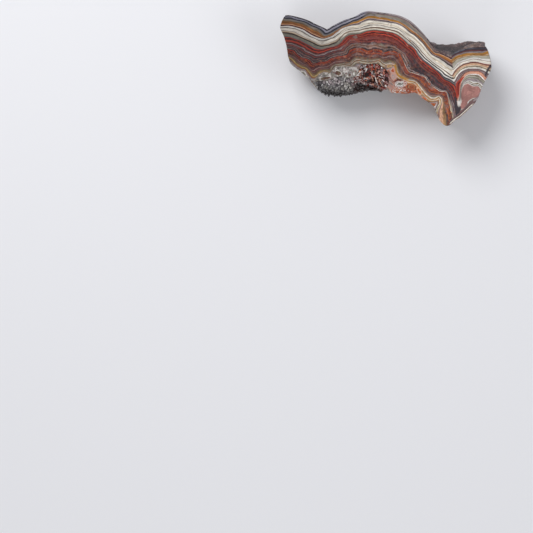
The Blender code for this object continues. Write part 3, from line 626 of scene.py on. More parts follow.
def within(points, corners):
    """Whether each point is inside a closed outline: a ray from it crosses it an odd number of times."""
    inside = np.zeros(len(points), bool)
    for (x0, y0), (x1, y1) in zip(corners, np.roll(corners, -1, axis=0)):
        if y0 != y1:
            crosses = (y0 > points[:, 1]) != (y1 > points[:, 1])
            inside ^= crosses & (points[:, 0] < (x1 - x0) * (points[:, 1] - y0) / (y1 - y0) + x0)
    return inside


def soft_inside(points, outline, softness):
    """1 inside a closed outline and 0 outside, with a soft edge this wide."""
    outline = np.array(outline, float)
    apart = distance(points, np.vstack([outline, outline[:1]]))
    return smoothstep(0.5 + np.where(within(points, outline), 1, -1) * apart / softness)


def oval_share(sheet, x, y, half_length, half_width, turn, square=2.0):
    """1 in an oval's middle, 0 at its edge and less outside: one less the p-norm of the scaled offsets."""
    turn = math.radians(turn)
    across = (sheet[:, 0] - x) * math.cos(turn) + (sheet[:, 1] - y) * math.sin(turn)
    up = (sheet[:, 1] - y) * math.cos(turn) - (sheet[:, 0] - x) * math.sin(turn)
    return 1 - (np.abs(across / half_length) ** square + np.abs(up / half_width) ** square) ** (1 / square)


def noise(points, size, seed):
    """Smooth noise from -1 to 1: random values at a lattice's corners, this far apart, eased between them."""
    points = np.asarray(points, float) / size
    corner = np.floor(points).astype(np.int64)
    share = smoothstep(points - corner)
    total = np.zeros(points.shape[:-1])
    primes = (73856093, 19349663, 83492791)
    for step in np.ndindex(*(2,) * points.shape[-1]):
        mixed = np.full(total.shape, seed * 2654435761, np.int64)
        weight = np.ones(total.shape)
        for axis, offset in enumerate(step):
            mixed ^= (corner[..., axis] + offset) * primes[axis]
            weight *= share[..., axis] if offset else 1 - share[..., axis]
        mixed = (mixed ^ (mixed >> 13)) * 1274126177 & 0x7FFFFFFF
        mixed = (mixed ^ (mixed >> 15)) & 0xFFFFF
        total += weight * (mixed / 0xFFFFF * 2 - 1)
    return total


def with_height(place, height):
    """A grid of level places with a third coordinate added."""
    return np.concatenate([place, np.broadcast_to(height[..., None], place.shape[:2] + (1,))], axis=2)


# The stone's side, as a function of the way round its edge and the depth under its face

def walk_round(spacing):
    """The stone's edge, one row a point: place on face and back, kind, bulge, and length from the start."""
    rows = {"face": [], "back": [], "kind": [], "bulge": [], "hollow_end": []}
    kind_before = STRETCHES[-1][0]
    for kind, bulge, face_points, back_points in STRETCHES:
        face_points, back_points = from_sheet(face_points), from_sheet(back_points)
        count = max(2, round(smooth_curve(face_points, [0, 1])[1] / spacing))
        shares = np.arange(count) / count
        rows["face"].append(smooth_curve(face_points, shares)[0])
        rows["back"].append(smooth_curve(back_points, shares)[0])
        rows["kind"].append(np.full(count, kind))
        rows["bulge"].append(np.full(count, bulge))
        rows["hollow_end"].append((shares == 0) & ((kind == "hollow") != (kind_before == "hollow")))
        kind_before = kind
    edge = {name: np.concatenate(parts) for name, parts in rows.items()}
    steps = np.linalg.norm(np.roll(edge["face"], -1, axis=0) - edge["face"], axis=1)
    edge["along"] = np.concatenate([[0], np.cumsum(steps)[:-1]])
    edge["round"] = steps.sum()
    return edge


def round_distance(along, places, whole):
    """Distances round a closed edge of the given length, the shorter way."""
    apart = np.abs(along[:, None] - np.asarray(places)[None, :])
    return np.minimum(apart, whole - apart)


def averaged(edge, values, window):
    """Values averaged round the edge over a window of this length, with weights that fall off evenly."""
    weights = np.clip(1 - round_distance(edge["along"], edge["along"], edge["round"]) / window, 0, None)
    weights /= weights.sum(axis=1, keepdims=True)
    return weights @ values


def outward(edge):
    """Smoothed directions out of the stone, level with the face. The edge runs clockwise seen from above."""
    ahead = np.roll(edge["face"], -1, axis=0) - np.roll(edge["face"], 1, axis=0)
    normals = np.column_stack([-ahead[:, 1], ahead[:, 0]])
    normals /= np.linalg.norm(normals, axis=1, keepdims=True)
    normals = averaged(edge, normals, NORMAL_WINDOW)
    return normals / np.linalg.norm(normals, axis=1, keepdims=True)


def relief(edge, depths, seed, count, radii, height, squareness):
    """The highest of many domes scattered over the side: (1 - d^2 / r^2) to a power, times a height."""
    random = np.random.default_rng(seed)
    highest = np.zeros((len(depths), len(edge["along"])))
    for _ in range(count):
        centre, level = random.uniform(0, edge["round"]), random.uniform(HIGHEST_DOME, THICKNESS)
        radius = random.uniform(*radii)
        apart = round_distance(edge["along"], [centre], edge["round"])[:, 0]
        inside = np.clip(1 - (apart[None, :] ** 2 + (depths[:, None] - level) ** 2) / radius ** 2, 0, None)
        highest = np.maximum(highest, radius / radii[1] * inside ** squareness)
    return highest * height


def is_skin(edge):
    """Whether each point of the edge is on the natural skin."""
    return (edge["kind"] == "skin") | (edge["kind"] == "lobe skin")


def moved_out(edge, depth):
    """The share of the way from the face's line to the back's line at a depth, for each point of the edge."""
    skin = 1 - (1 - np.clip(depth / SKIN_SHOULDER, 0, 1)) ** 2
    sheet_x = to_sheet(edge["face"])[:, 0]
    pocket = smoothstep((sheet_x - SHELF_START) / (SHELF_STOP - SHELF_START))
    slope = np.clip(depth / SLOPE_FOOT, 0, 1) ** SLOPE_POWER
    hollow = slope * (1 - pocket) + np.interp(depth, SHELF_DEPTHS, SHELF_SHARES) * pocket
    return np.select([is_skin(edge), edge["kind"] == "break"], [skin, depth / THICKNESS], hollow)


def shares_out(edge, depths):
    """The shares of the way from the face's line to the back's at all depths, smoothed round the edge."""
    return np.array([averaged(edge, moved_out(edge, depth), SHARE_WINDOW) for depth in depths])


def side_surface(edge, depths, skin_grain=0.0, break_grain=0.0, rim_bevel=0.0):
    """The stone's side over all depths and round the edge, and how far each point of it lies in a hollow.

    A point is on the line from face to back, plus, along the outward direction, the bulge, the skin's tuck on
    a quarter of an ellipse, and the relief: lumps and swells on skin, scoops and ledges on breaks. The rim and
    the foot are worn back a little.
    """
    place = edge["face"] + (edge["back"] - edge["face"]) * shares_out(edge, depths)[..., None]
    below = depths[:, None]
    ends = edge["along"][edge["hollow_end"]]
    calm = smoothstep(round_distance(edge["along"], ends, edge["round"]).min(axis=1) / HOLLOW_FADE)
    spot = with_height(place, -below)
    pebbles, chips = skin_pebbles(spot), break_chips(spot)
    lumps = relief(edge, depths, *SKIN_LUMPS) + relief(edge, depths, *SKIN_GRAINS) - SKIN_SINK
    lumps = lumps - skin_grain * pebbles
    swells = relief(edge, depths, *SKIN_SWELLS) - SKIN_SWELLS[3]
    scoops = relief(edge, depths, *BREAK_SCOOPS) - break_grain * chips
    on_skin = averaged(edge, is_skin(edge), KIND_WINDOW)
    on_break = averaged(edge, edge["kind"] == "break", KIND_WINDOW)
    on_hollow = averaged(edge, edge["kind"] == "hollow", KIND_WINDOW)
    under_rim = smoothstep(below / BREAK_FADE)
    rough = on_skin * lumps * smoothstep(below / SKIN_FADE)
    rough += averaged(edge, edge["kind"] == "skin", TUCK_WINDOW) * swells * smoothstep(below / SWELLS_FADE)
    rough += on_break * scoops * under_rim
    rough += on_hollow * break_grain * HOLLOW_ROUGHNESS * (HOLLOW_LEVEL - chips) * under_rim
    bulge = averaged(edge, edge["bulge"], BULGE_WINDOW) * np.sin(math.pi * below / THICKNESS)
    tuck = 1 - np.sqrt(1 - (TUCK_REACH * below / THICKNESS) ** 2)
    bulge = bulge - averaged(edge, is_skin(edge) * SKIN_TUCK, TUCK_WINDOW) * tuck
    chamfer = FOOT_CHAMFER * smoothstep((below - THICKNESS + CHAMFER_HEIGHT) / CHAMFER_HEIGHT)
    bevel = rim_bevel * (1 - np.clip(below / max(rim_bevel, 1e-9), 0, 1))
    place = place + outward(edge) * (rough * calm + bulge - chamfer - bevel)[..., None]
    place = np.clip(place, np.array(CAD_BOX[0][:2]), np.array(CAD_BOX[1][:2]))
    sunk = on_skin * (PEBBLE_SHADE * pebbles - LUMP_SHADE * (lumps + 0.5 * SKIN_SINK))
    sunk += (on_break + on_hollow) * chips
    return with_height(place, THICKNESS - below), np.clip(sunk, 0, 1)


def skin_pebbles(spot):
    """The skin's small pebbles as depths below their tops: creases where noise passes nothing."""
    creases = sum(weight * (1 - np.abs(noise(spot, size, seed))) for size, seed, weight in PEBBLES)
    size, seed, weight = PEBBLE_DUST
    return creases + weight * noise(spot, size, seed)


def break_chips(spot):
    """The breaks' small chips and ledges: shallow hollows between ridges, in noise of three sizes."""
    chips = sum(weight * np.abs(noise(spot * stretch, size, seed)) for size, seed, weight, stretch in CHIPS)
    size, seed, weight = CHIP_DUST
    return chips + weight * noise(spot, size, seed)


# The layers of the lace

def closed_front(line):
    """A front closed round the inside of the stone, as an outline."""
    left, floor = BEYOND_STONE
    return np.vstack([line, [(line[-1][0], floor), (left, floor), (left, line[0][1])]])


def lace_layers(points):
    """The layer number at sheet points, the same inside the right lobe, and whether they are in that lobe."""
    wobble = np.column_stack([sum(weight * noise(points, size, seed + axis)
                                  for size, seed, weight in FRONT_WOBBLE) for axis in (0, 1)])
    points = points + WOBBLE_HEIGHT * wobble
    skin_line = np.vstack([smooth_curve(face)[0] for kind, _, face, _ in STRETCHES if "skin" in kind])
    fronts = [smooth_curve(front)[0] for _, *front in FRONTS]
    outlines = [closed_front(line) for line in fronts]
    layers = counted_layers(points, [skin_line, *fronts], outlines, INNER_REACH)
    lobe_line = smooth_curve(LOBE_EDGE[:LOBE_LINE_POINTS])[0]
    lobe_fronts = [smooth_curve(front)[0] for _, *front in LOBE_FRONTS]
    lobe_lines = [lobe_line, *(np.vstack([line, line[:1]]) for line in lobe_fronts)]
    lobe_layers = counted_layers(points, lobe_lines, lobe_fronts, HEART_REACH)
    return layers, lobe_layers, within(points, np.array(LOBE_EDGE))


def counted_layers(points, lines, outlines, reach):
    """The layer number at points: how many fronts are passed, plus the share of the way across the layer.

    The share is here / (here + beyond), by the distances to the lines before and after the point. Inside the
    last front the number goes on with the distance to that front, over the reach.
    """
    distances = np.array([distance(points, line) for line in lines])
    count = np.sum([within(points, outline) for outline in outlines], axis=0)
    last = len(distances) - 1
    here = np.take_along_axis(distances, count[None, :], axis=0)[0]
    beyond = np.take_along_axis(distances, np.minimum(count + 1, last)[None, :], axis=0)[0]
    return np.where(count == last, last + here / reach, count + here / (here + beyond + 1e-9))


def lace_values(sheet):
    """All values kept at the stone's points: layer numbers, and where reds, quartz and patches show."""
    layers, lobe_layers, in_lobe = lace_layers(sheet)
    parting = np.array(LOBE_PARTING)
    beyond = sheet[:, 0] - np.interp(sheet[:, 1], parting[:, 1], parting[:, 0])
    outer_reds, inner_reds = (np.abs(layers - middle) < 0.5 for middle in RED_LAYERS)
    past_lobe = layers > FRONTS_OVER_LOBE
    reds = np.select([in_lobe, outer_reds, inner_reds, past_lobe],
                     [0.0, OUTER_REDNESS, 1.0, PLAIN_REDNESS], 0.0)
    values = {
        "sheet": np.column_stack([sheet, np.zeros(len(sheet))]),
        "layer": layers,
        "lobe_layer": lobe_layers,
        "lobe": in_lobe.astype(float),
        "far": smoothstep(0.5 + beyond / PARTING_SOFTNESS),
        "inside": smoothstep((layers - len(FRONTS) + 0.05) / 0.15),
        "quartz": soft_inside(sheet, QUARTZ_FIELD, QUARTZ_SOFTNESS),
        "reds": reds,
        "tip": smoothstep((sheet[:, 1] - TIP_FROM[1]) / 10) * smoothstep((sheet[:, 0] - TIP_FROM[0]) / 6),
        "strip": soft_inside(sheet, STRIP, STRIP_SOFTNESS),
        "strip_depth": distance(sheet, np.array(STRIP_LINE)) / STRIP_WIDTH,
    }
    for index, (_, outline) in enumerate(PATCHES):
        values[f"patch_{index}"] = soft_inside(sheet, outline, PATCH_SOFTNESS)
    return values


# Meshes

def fill_outline(rim, spacing, seed):
    """A flat filling of a closed outline: a slightly shaken three-cornered lattice, joined to the outline."""
    low, high = rim.min(axis=0), rim.max(axis=0)
    row_height = spacing * ROW_SHARE
    across, up = np.meshgrid(np.arange(low[0], high[0], spacing), np.arange(low[1], high[1], row_height))
    across = across + np.where(np.arange(len(up)) % 2, spacing / 2, 0.0)[:, None]
    lattice = np.column_stack([across.ravel(), up.ravel()])
    shaken = np.random.default_rng(seed).uniform(-SHAKE, SHAKE, lattice.shape)
    lattice = lattice + shaken * spacing
    closed = np.vstack([rim, rim[:1]])
    lattice = lattice[within(lattice, rim)]
    lattice = lattice[distance(lattice, closed) > CLEARANCE * spacing]
    points = np.vstack([rim, lattice])
    corners = [Vector(point) for point in points * 1000]
    result = delaunay_2d_cdt(corners, [], [list(range(len(rim)))], 1, 1e-7)
    triangles = np.array(result[2])
    a, b, c = (points[triangles[:, i]] for i in range(3))
    turn = (b[:, 0] - a[:, 0]) * (c[:, 1] - a[:, 1]) - (b[:, 1] - a[:, 1]) * (c[:, 0] - a[:, 0])
    triangles[turn < 0] = triangles[turn < 0][:, ::-1]
    return lattice, triangles


def grid_faces(rows, columns, closed):
    """The four-cornered faces of a grid of points, rows by columns, joined up sideways if it is closed."""
    r, c = np.meshgrid(np.arange(rows - 1), np.arange(columns if closed else columns - 1), indexing="ij")
    right = (c + 1) % columns
    here, below = r * columns, (r + 1) * columns
    return np.stack([here + c, here + right, below + right, below + c], -1).reshape(-1, 4)


def shell(inner, outer):
    """A closed shell between two grids of points, with faces that point outwards."""
    rows, columns = inner.shape[:2]
    front = grid_faces(rows, columns, False)
    count = rows * columns
    index = np.arange(count).reshape(rows, columns)
    border = np.concatenate([index[0], index[1:, -1], index[-1, -2::-1], index[-2:0:-1, 0]])
    after = np.roll(border, -1)
    rim = np.column_stack([border, after, after + count, border + count])
    faces = np.vstack([front + count, front[:, ::-1], rim])
    return np.vstack([inner.reshape(-1, 3), outer.reshape(-1, 3)]), faces


def mesh_piece(name, points, faces, materials, kinds=None, values=None, sharp=38.0):
    """A piece from arrays: points, lists of faces with as many corners each, and values at the points."""
    mesh = bpy.data.meshes.new(name)
    corners = np.concatenate([part.ravel() for part in faces])
    sizes = np.concatenate([np.full(len(part), part.shape[1]) for part in faces])
    mesh.vertices.add(len(points))
    mesh.vertices.foreach_set("co", np.asarray(points, np.float32).ravel())
    mesh.loops.add(len(corners))
    mesh.loops.foreach_set("vertex_index", corners.astype(np.int32))
    mesh.polygons.add(len(sizes))
    mesh.polygons.foreach_set("loop_start", np.concatenate([[0], np.cumsum(sizes)[:-1]]).astype(np.int32))
    for made_of in materials:
        mesh.materials.append(made_of)
    if kinds is not None:
        mesh.polygons.foreach_set("material_index", np.asarray(kinds, np.int32))
    for label, numbers in (values or {}).items():
        numbers = np.asarray(numbers, np.float32)
        kind, field = ("FLOAT_VECTOR", "vector") if numbers.ndim == 2 else ("FLOAT", "value")
        mesh.attributes.new(label, kind, "POINT").data.foreach_set(field, numbers.ravel())
    mesh.update()
    mesh.validate()
    mesh.shade_smooth()
    mesh.set_sharp_from_angle(angle=math.radians(sharp))
    piece = bpy.data.objects.new(name, mesh)
    bpy.context.scene.collection.objects.link(piece)
    return piece


# Shading helpers

def node(tree, kind, inputs=None, **settings):
    """A node with its settings, and each named input set to a value or wired to another node's output."""
    made = tree.nodes.new(kind)
    for name, value in settings.items():
        setattr(made, name, value)
    for name, value in (inputs or {}).items():
        if isinstance(value, bpy.types.NodeSocket):
            tree.links.new(value, made.inputs[name])
        else:
            made.inputs[name].default_value = value
    return made


def maths(tree, operation, *values, clamp=False):
    """The result of an operation on numbers or outputs."""
    made = node(tree, "ShaderNodeMath", dict(enumerate(values)), operation=operation, use_clamp=clamp)
    return made.outputs[0]


def plus(tree, first, second, clamp=False):
    """Two numbers or outputs added."""
    return maths(tree, "ADD", first, second, clamp=clamp)


def minus(tree, first, second, clamp=False):
    """The second number or output taken from the first."""
    return maths(tree, "SUBTRACT", first, second, clamp=clamp)


def times(tree, first, second, clamp=False):
    """Two numbers or outputs multiplied."""
    return maths(tree, "MULTIPLY", first, second, clamp=clamp)


def vectors(tree, operation, first, second):
    """The result of an operation on two vectors."""
    return node(tree, "ShaderNodeVectorMath", {0: first, 1: second}, operation=operation).outputs[0]


def mixed(tree, share, first, second, blend="MIX"):
    """Two colours mixed by a share, each a colour or an output."""
    inputs = {0: share}
    for name, part in ((6, first), (7, second)):
        inputs[name] = part if isinstance(part, bpy.types.NodeSocket) else (*part[:3], 1.0)
    made = node(tree, "ShaderNodeMix", inputs, data_type="RGBA", blend_type=blend, clamp_factor=True)
    return made.outputs[2]


def ramp(tree, share, stops):
    """A colour ramp with its stops, each a place and a colour."""
    made = node(tree, "ShaderNodeValToRGB", {0: share})
    elements = made.color_ramp.elements
    elements[0].position, elements[1].position = stops[0][0], stops[-1][0]
    elements[0].color, elements[1].color = (*stops[0][1][:3], 1.0), (*stops[-1][1][:3], 1.0)
    for place, colour in stops[1:-1]:
        elements.new(place).color = (*colour[:3], 1.0)
    return made.outputs[0]


def object_place(tree):
    """The place in the object's own space."""
    return node(tree, "ShaderNodeTexCoord").outputs["Object"]


def speckle(tree, size, detail=3.0, roughness=0.6, distortion=0.0, offset=0.0):
    """Noise in the object's own space with features of this size in metres."""
    place = object_place(tree)
    if offset:
        moved = {"Vector": place, "Location": (offset, offset, offset)}
        place = node(tree, "ShaderNodeMapping", moved).outputs[0]
    return node(tree, "ShaderNodeTexNoise", {"Vector": place, "Scale": 1 / size, "Detail": detail,
                                             "Roughness": roughness, "Distortion": distortion}).outputs[0]


def clouds(tree, start, stop, *texture):
    """Cloudy patches: 0 where a noise is below start, 1 where it is above stop."""
    return ramp(tree, speckle(tree, *texture), ((start, (0, 0, 0)), (stop, (1, 1, 1))))


def group(name, inputs, outputs):
    """A shader node group with named sockets: its tree, its inputs, and the node that takes its outputs."""
    tree = bpy.data.node_groups.new(name, "ShaderNodeTree")
    for label, kind, value in inputs:
        socket = tree.interface.new_socket(label, in_out="INPUT", socket_type="NodeSocket" + kind)
        socket.default_value = value
    for label, kind in outputs:
        tree.interface.new_socket(label, in_out="OUTPUT", socket_type="NodeSocket" + kind)
    return tree, tree.nodes.new("NodeGroupInput").outputs, tree.nodes.new("NodeGroupOutput")


def attribute(tree, name, output="Fac"):
    """A number or a vector kept at the piece's points."""
    return node(tree, "ShaderNodeAttribute", attribute_name=name).outputs[output]


def passed(tree, value, start, stop):
    """0 before start and 1 after stop, rising evenly between them."""
    return maths(tree, "DIVIDE", minus(tree, value, start), stop - start, clamp=True)


def swing(tree, value, strength):
    """How far a value is from a half, times a strength."""
    return times(tree, minus(tree, value, 0.5), strength)


def around(tree, value, strength):
    """A brightness that swings round 1 as a value does round a half."""
    return plus(tree, swing(tree, value, strength), 1.0)


def dimmed(tree, colour, brightness):
    """A colour times a brightness."""
    sockets = {"Red": brightness, "Green": brightness, "Blue": brightness}
    return mixed(tree, 1.0, colour, node(tree, "ShaderNodeCombineColor", sockets).outputs[0], "MULTIPLY")


# The lace's colours

def zone_stops(zone, colours):
    """The stops of a colour ramp for a list of bands: each band is flat, with a short change to the next."""
    bands = [(word.split()[0], float(word.split()[1])) for word in zone.split(",")]
    whole = sum(width for _, width in bands)
    stops, place = [], 0.0
    for index, (colour, width) in enumerate(bands):
        soft = min(width, WIDEST_CHANGE) * BAND_SOFTNESS
        start = place + (soft if index else 0.0)
        place += width
        stop = place - (soft if index < len(bands) - 1 else 0.0)
        stops += [(start / whole, getattr(colours, colour)), (stop / whole, getattr(colours, colour))]
    return stops


def banded(tree, layer, zones, colours):
    """The colour of the band at a layer number, with one colour ramp for each zone."""
    result = None
    for number, zone in enumerate(zones):
        coloured = ramp(tree, minus(tree, layer, float(number), clamp=True), zone_stops(zone, colours))
        if result is None:
            result = coloured
        else:
            reached = times(tree, minus(tree, layer, float(number)), ZONE_SHARPNESS, clamp=True)
            result = mixed(tree, reached, result, coloured)
    return result


def wandering(tree, wander):
    """How far noise of two sizes pushes the layer numbers about, which is less in the outer layers."""
    coarse = swing(tree, speckle(tree, 0.0034, 2.0), 0.24)
    fine = swing(tree, speckle(tree, 0.0014, 1.0), 0.06)
    calm = plus(tree, times(tree, passed(tree, attribute(tree, "layer"), 4.4, 5.4), 0.65), 0.35)
    return times(tree, times(tree, plus(tree, coarse, fine), wander), calm)


def coloured_bands(tree, colours, sheet_x, layer):
    """The bands outside the right lobe: left, middle, right, over the lobe, and in the tip."""
    place = plus(tree, sheet_x, swing(tree, speckle(tree, 0.005, 2.0), ZONE_RAGGEDNESS))
    place = plus(tree, place, times(tree, passed(tree, layer, 8.7, 9.0), INNER_ZONES_AHEAD))
    place = minus(tree, place, times(tree, passed(tree, layer, 1.0, 0.95), RIND_ZONES_BEHIND))
    colour = banded(tree, layer, LEFT_ZONES, colours)
    for zones, change in ((MIDDLE_ZONES, LEFT_TO_MIDDLE), (RIGHT_ZONES, MIDDLE_TO_RIGHT)):
        colour = mixed(tree, passed(tree, place, *change), colour, banded(tree, layer, zones, colours))
    tip_layer = minus(tree, layer, float(FRONTS_OVER_LOBE))
    in_tip = times(tree, attribute(tree, "tip"), passed(tree, tip_layer, 0.0, 0.05))
    colour = mixed(tree, in_tip, colour, banded(tree, tip_layer, TIP_ZONES, colours))
    far = times(tree, attribute(tree, "far"), maths(tree, "LESS_THAN", layer, float(FRONTS_OVER_LOBE)))
    return mixed(tree, far, colour, banded(tree, layer, FAR_ZONES, colours))


def clouded(tree, colours, sheet_x, colour):
    """A colour with small clouds of three tints in its reddish layers, fainter at the left."""
    fullness = plus(tree, times(tree, passed(tree, sheet_x, *FULL_REDS), 0.6), 0.8)
    reds = times(tree, attribute(tree, "reds"), fullness)
    for tint, stop, *texture in RED_CLOUDS:
        mask = times(tree, times(tree, clouds(tree, 0.50, stop, *texture), reds), CLOUD_STRENGTH)
        colour = mixed(tree, mask, colour, getattr(colours, tint))
    return colour


def lobe_bands(tree, colours, lobe_layer, in_heart):
    """The right lobe's own bands, with pale flecks in its heart."""
    colour = banded(tree, lobe_layer, LOBE_ZONES, colours)
    flecks = clouds(tree, 0.58, 0.68, 0.0013, 2.0, 0.5, 0.0, 1.3)
    return mixed(tree, times(tree, times(tree, flecks, in_heart), 0.55), colour, colours.pink)


def bent_sheet(tree, sheet):
    """The sheet's points moved a little by noise, so that rings drawn on them aren't plain ovals."""
    warp = node(tree, "ShaderNodeTexNoise", {"Vector": object_place(tree), "Scale": 380.0, "Detail": 2.0})
    warp = vectors(tree, "SUBTRACT", warp.outputs["Color"], (0.5, 0.5, 0.5))
    return vectors(tree, "ADD", sheet, vectors(tree, "MULTIPLY", warp, (3.4, 3.4, 0.0)))


def ringed(tree, colours, sheet, colour, ovals, sharpness, strength):
    """A colour with ringed ovals on it: rings by the scaled distance r, shown by (1 - r) times sharpness."""
    wobble = swing(tree, speckle(tree, 0.0028, 3.0, 0.6, 0.3), 0.5)
    for x, y, half_width, half_height, turn, rings in ovals:
        oval = {"Vector": sheet, "Location": (x, y, 0.0), "Rotation": (0.0, 0.0, math.radians(turn)),
                "Scale": (half_width, half_height, 1.0)}
        placed = node(tree, "ShaderNodeMapping", oval, vector_type="TEXTURE").outputs[0]
        radius = node(tree, "ShaderNodeVectorMath", {0: placed}, operation="LENGTH")
        out = plus(tree, radius.outputs["Value"], wobble)
        shown = times(tree, times(tree, minus(tree, 1.0, out), sharpness, clamp=True), strength)
        colour = mixed(tree, shown, colour, ramp(tree, out, zone_stops(rings, colours)))
    return colour


def streaked(tree, sheet, layer, in_heart, colour):
    """A colour with streaks and thin dark lines along the bands: noise over sheet place and layer."""
    flat = node(tree, "ShaderNodeSeparateXYZ", {0: vectors(tree, "MULTIPLY", sheet, STREAK_PITCH)}).outputs
    along = times(tree, layer, STREAKS_PER_LAYER)
    place = node(tree, "ShaderNodeCombineXYZ", {0: flat[0], 1: flat[1], 2: along}).outputs[0]
    pinched, streak = (node(tree, "ShaderNodeTexNoise", {"Vector": place, "Scale": scale, "Detail": 1.0,
                                                         "Roughness": roughness}).outputs[0]
                       for scale, roughness in ((1.0, 0.5), (1.3, 0.6)))
    colour = dimmed(tree, colour, around(tree, streak, 1.3))
    strength = minus(tree, 0.7, times(tree, in_heart, 0.6))
    colour = mixed(tree, strength, colour, ramp(tree, pinched, THIN_LINES), "MULTIPLY")
    lines = maths(tree, "SINE", plus(tree, times(tree, layer, 12.0), times(tree, pinched, 4.0)))
    fade = minus(tree, 0.05, times(tree, in_heart, 0.04))
    return dimmed(tree, colour, plus(tree, times(tree, lines, fade), 1.0))


def patched(tree, colours, colour):
    """A colour with the small patches, the strip along the lobe's foot and the milky quartz laid over it."""
    for index, (patch_colour, _) in enumerate(PATCHES):
        colour = mixed(tree, attribute(tree, f"patch_{index}"), colour, getattr(colours, patch_colour))
    strip = ramp(tree, attribute(tree, "strip_depth"), zone_stops(STRIP_ZONE, colours))
    colour = mixed(tree, attribute(tree, "strip"), colour, strip)
    return mixed(tree, attribute(tree, "quartz"), colour, quartz_colour(tree, colours))


def pitted(tree, colours, colour):
    """A colour with the small pits in it, brown inside and with a broken white rim."""
    pit = attribute(tree, "pit")
    kept = passed(tree, speckle(tree, 0.0030, 2.0, 0.5, 0.0, 2.1), 0.42, 0.58)
    colour = mixed(tree, times(tree, ramp(tree, pit, PIT_RIM), kept), colour, colours.quartz_white)
    hole = mixed(tree, passed(tree, speckle(tree, 0.0016, 2.0), 0.42, 0.58), colours.maroon, colours.olive)
    return mixed(tree, passed(tree, pit, 0.42, 0.55), colour, hole)


def quartz_colour(tree, colours):
    """Clear and milky quartz in blocky grains, with a few dark and rusty ones."""
    place = object_place(tree)
    warp = node(tree, "ShaderNodeTexNoise", {"Vector": place, "Scale": 420.0, "Detail": 2.0}).outputs["Color"]
    place = vectors(tree, "ADD", place, vectors(tree, "MULTIPLY", warp, (0.0016, 0.0016, 0.0016)))
    grains = node(tree, "ShaderNodeTexVoronoi", {"Vector": place, "Scale": 620.0}).outputs["Color"]
    grain = node(tree, "ShaderNodeSeparateColor", {0: grains}).outputs[0]
    blend = plus(tree, times(tree, grain, 0.30), times(tree, speckle(tree, 0.0026, 4.0, 0.7), 0.70))
    colour = ramp(tree, blend, named_stops(colours, QUARTZ_GRAINS))
    stains = clouds(tree, 0.58, 0.68, 0.0020, 3.0, 0.6, 0.5, 1.7)
    return mixed(tree, times(tree, stains, 0.6), colour, colours.mauve_red)


def named_stops(colours, stops):
    """The stops of a colour ramp from a list of places and colour names."""
    return [(float(word.split()[0]), getattr(colours, word.split()[1])) for word in stops.split(",")]


def lace_group(colours):
    """The whole lace as a group: bands by layer number, eyes, patches, quartz, clouds and streaks, darkened
    towards the left by painted shade.
    """
    tree, inputs, output = group("Crazy lace", [("Wander", "Float", 1.0)], [("Color", "Color")])
    sheet = attribute(tree, "sheet", "Vector")
    sheet_x = node(tree, "ShaderNodeSeparateXYZ", {0: sheet}).outputs[0]
    shift = wandering(tree, inputs["Wander"])
    layer = plus(tree, attribute(tree, "layer"), shift)
    lobe_layer = plus(tree, attribute(tree, "lobe_layer"), shift)
    lobe = attribute(tree, "lobe")
    in_heart = times(tree, passed(tree, lobe_layer, 1.96, 2.0), lobe)
    colour = clouded(tree, colours, sheet_x, coloured_bands(tree, colours, sheet_x, layer))
    colour = mixed(tree, lobe, colour, lobe_bands(tree, colours, lobe_layer, in_heart))
    bent = bent_sheet(tree, sheet)
    colour = ringed(tree, colours, bent, colour, SPOTS, SPOT_SHARPNESS, 0.8)
    either = node(tree, "ShaderNodeMix", {0: lobe, 2: layer, 3: lobe_layer}, data_type="FLOAT").outputs[0]
    colour = streaked(tree, sheet, either, in_heart, colour)
    colour = ringed(tree, colours, bent, colour, EYES, EYE_SHARPNESS, attribute(tree, "inside"))
    colour = pitted(tree, colours, patched(tree, colours, colour))
    patchy = plus(tree, speckle(tree, 0.0024, 4.0, 0.65), speckle(tree, 0.0007, 3.0, 0.6))
    colour = dimmed(tree, colour, around(tree, times(tree, patchy, 0.5), 0.7))
    # Painted shade: the colours are darkened towards the left
    depth = ramp(tree, passed(tree, sheet_x, *LEFT_SHADE_SPAN), LEFT_SHADE_FACTORS)
    tree.links.new(mixed(tree, 1.0, colour, depth, "MULTIPLY"), output.inputs["Color"])
    return tree


def lace_shading(tree, colours, wander):
    """The lace's colour in a material's tree. Its group is made the first time it is asked for."""
    lace = bpy.data.node_groups.get("Crazy lace") or lace_group(colours)
    placed = node(tree, "ShaderNodeGroup", node_tree=lace)
    placed.inputs["Wander"].default_value = wander
    return placed.outputs["Color"]


# Materials

def shader(material):
    """A material's own shader."""
    return material.node_tree.nodes["Principled BSDF"]


def new_material(name, roughness, viewport):
    """A material with plain quartz's refraction, a roughness, and a colour for the viewport."""
    made = bpy.data.materials.new(name)
    made.use_nodes = True
    shader(made).inputs["Roughness"].default_value = roughness
    shader(made).inputs["IOR"].default_value = QUARTZ_IOR
    made.diffuse_color = (*viewport[:3], 1.0)
    return made


def wire(material, **outputs):
    """Outputs wired to the inputs of a material's shader, named with underscores for spaces."""
    for name, output in outputs.items():
        material.node_tree.links.new(output, shader(material).inputs[name.replace("_", " ")])


def bump(tree, height, strength, depth):
    """A normal from a height, with a strength and a depth in metres."""
    inputs = {"Height": height, "Strength": strength, "Distance": depth}
    return node(tree, "ShaderNodeBump", inputs).outputs[0]


def polished_material(colours):
    """The polished face: lace bands under a bright, slightly uneven polish."""
    made = new_material("polished_lace", 0.2, colours.red)
    tree = made.node_tree
    dull = plus(tree, times(tree, speckle(tree, 0.004, 4.0), 0.16), 0.10)
    dull = plus(tree, dull, times(tree, attribute(tree, "quartz"), 0.15), clamp=True)
    wire(made, Base_Color=lace_shading(tree, colours, 1.0), Roughness=dull)
    return made


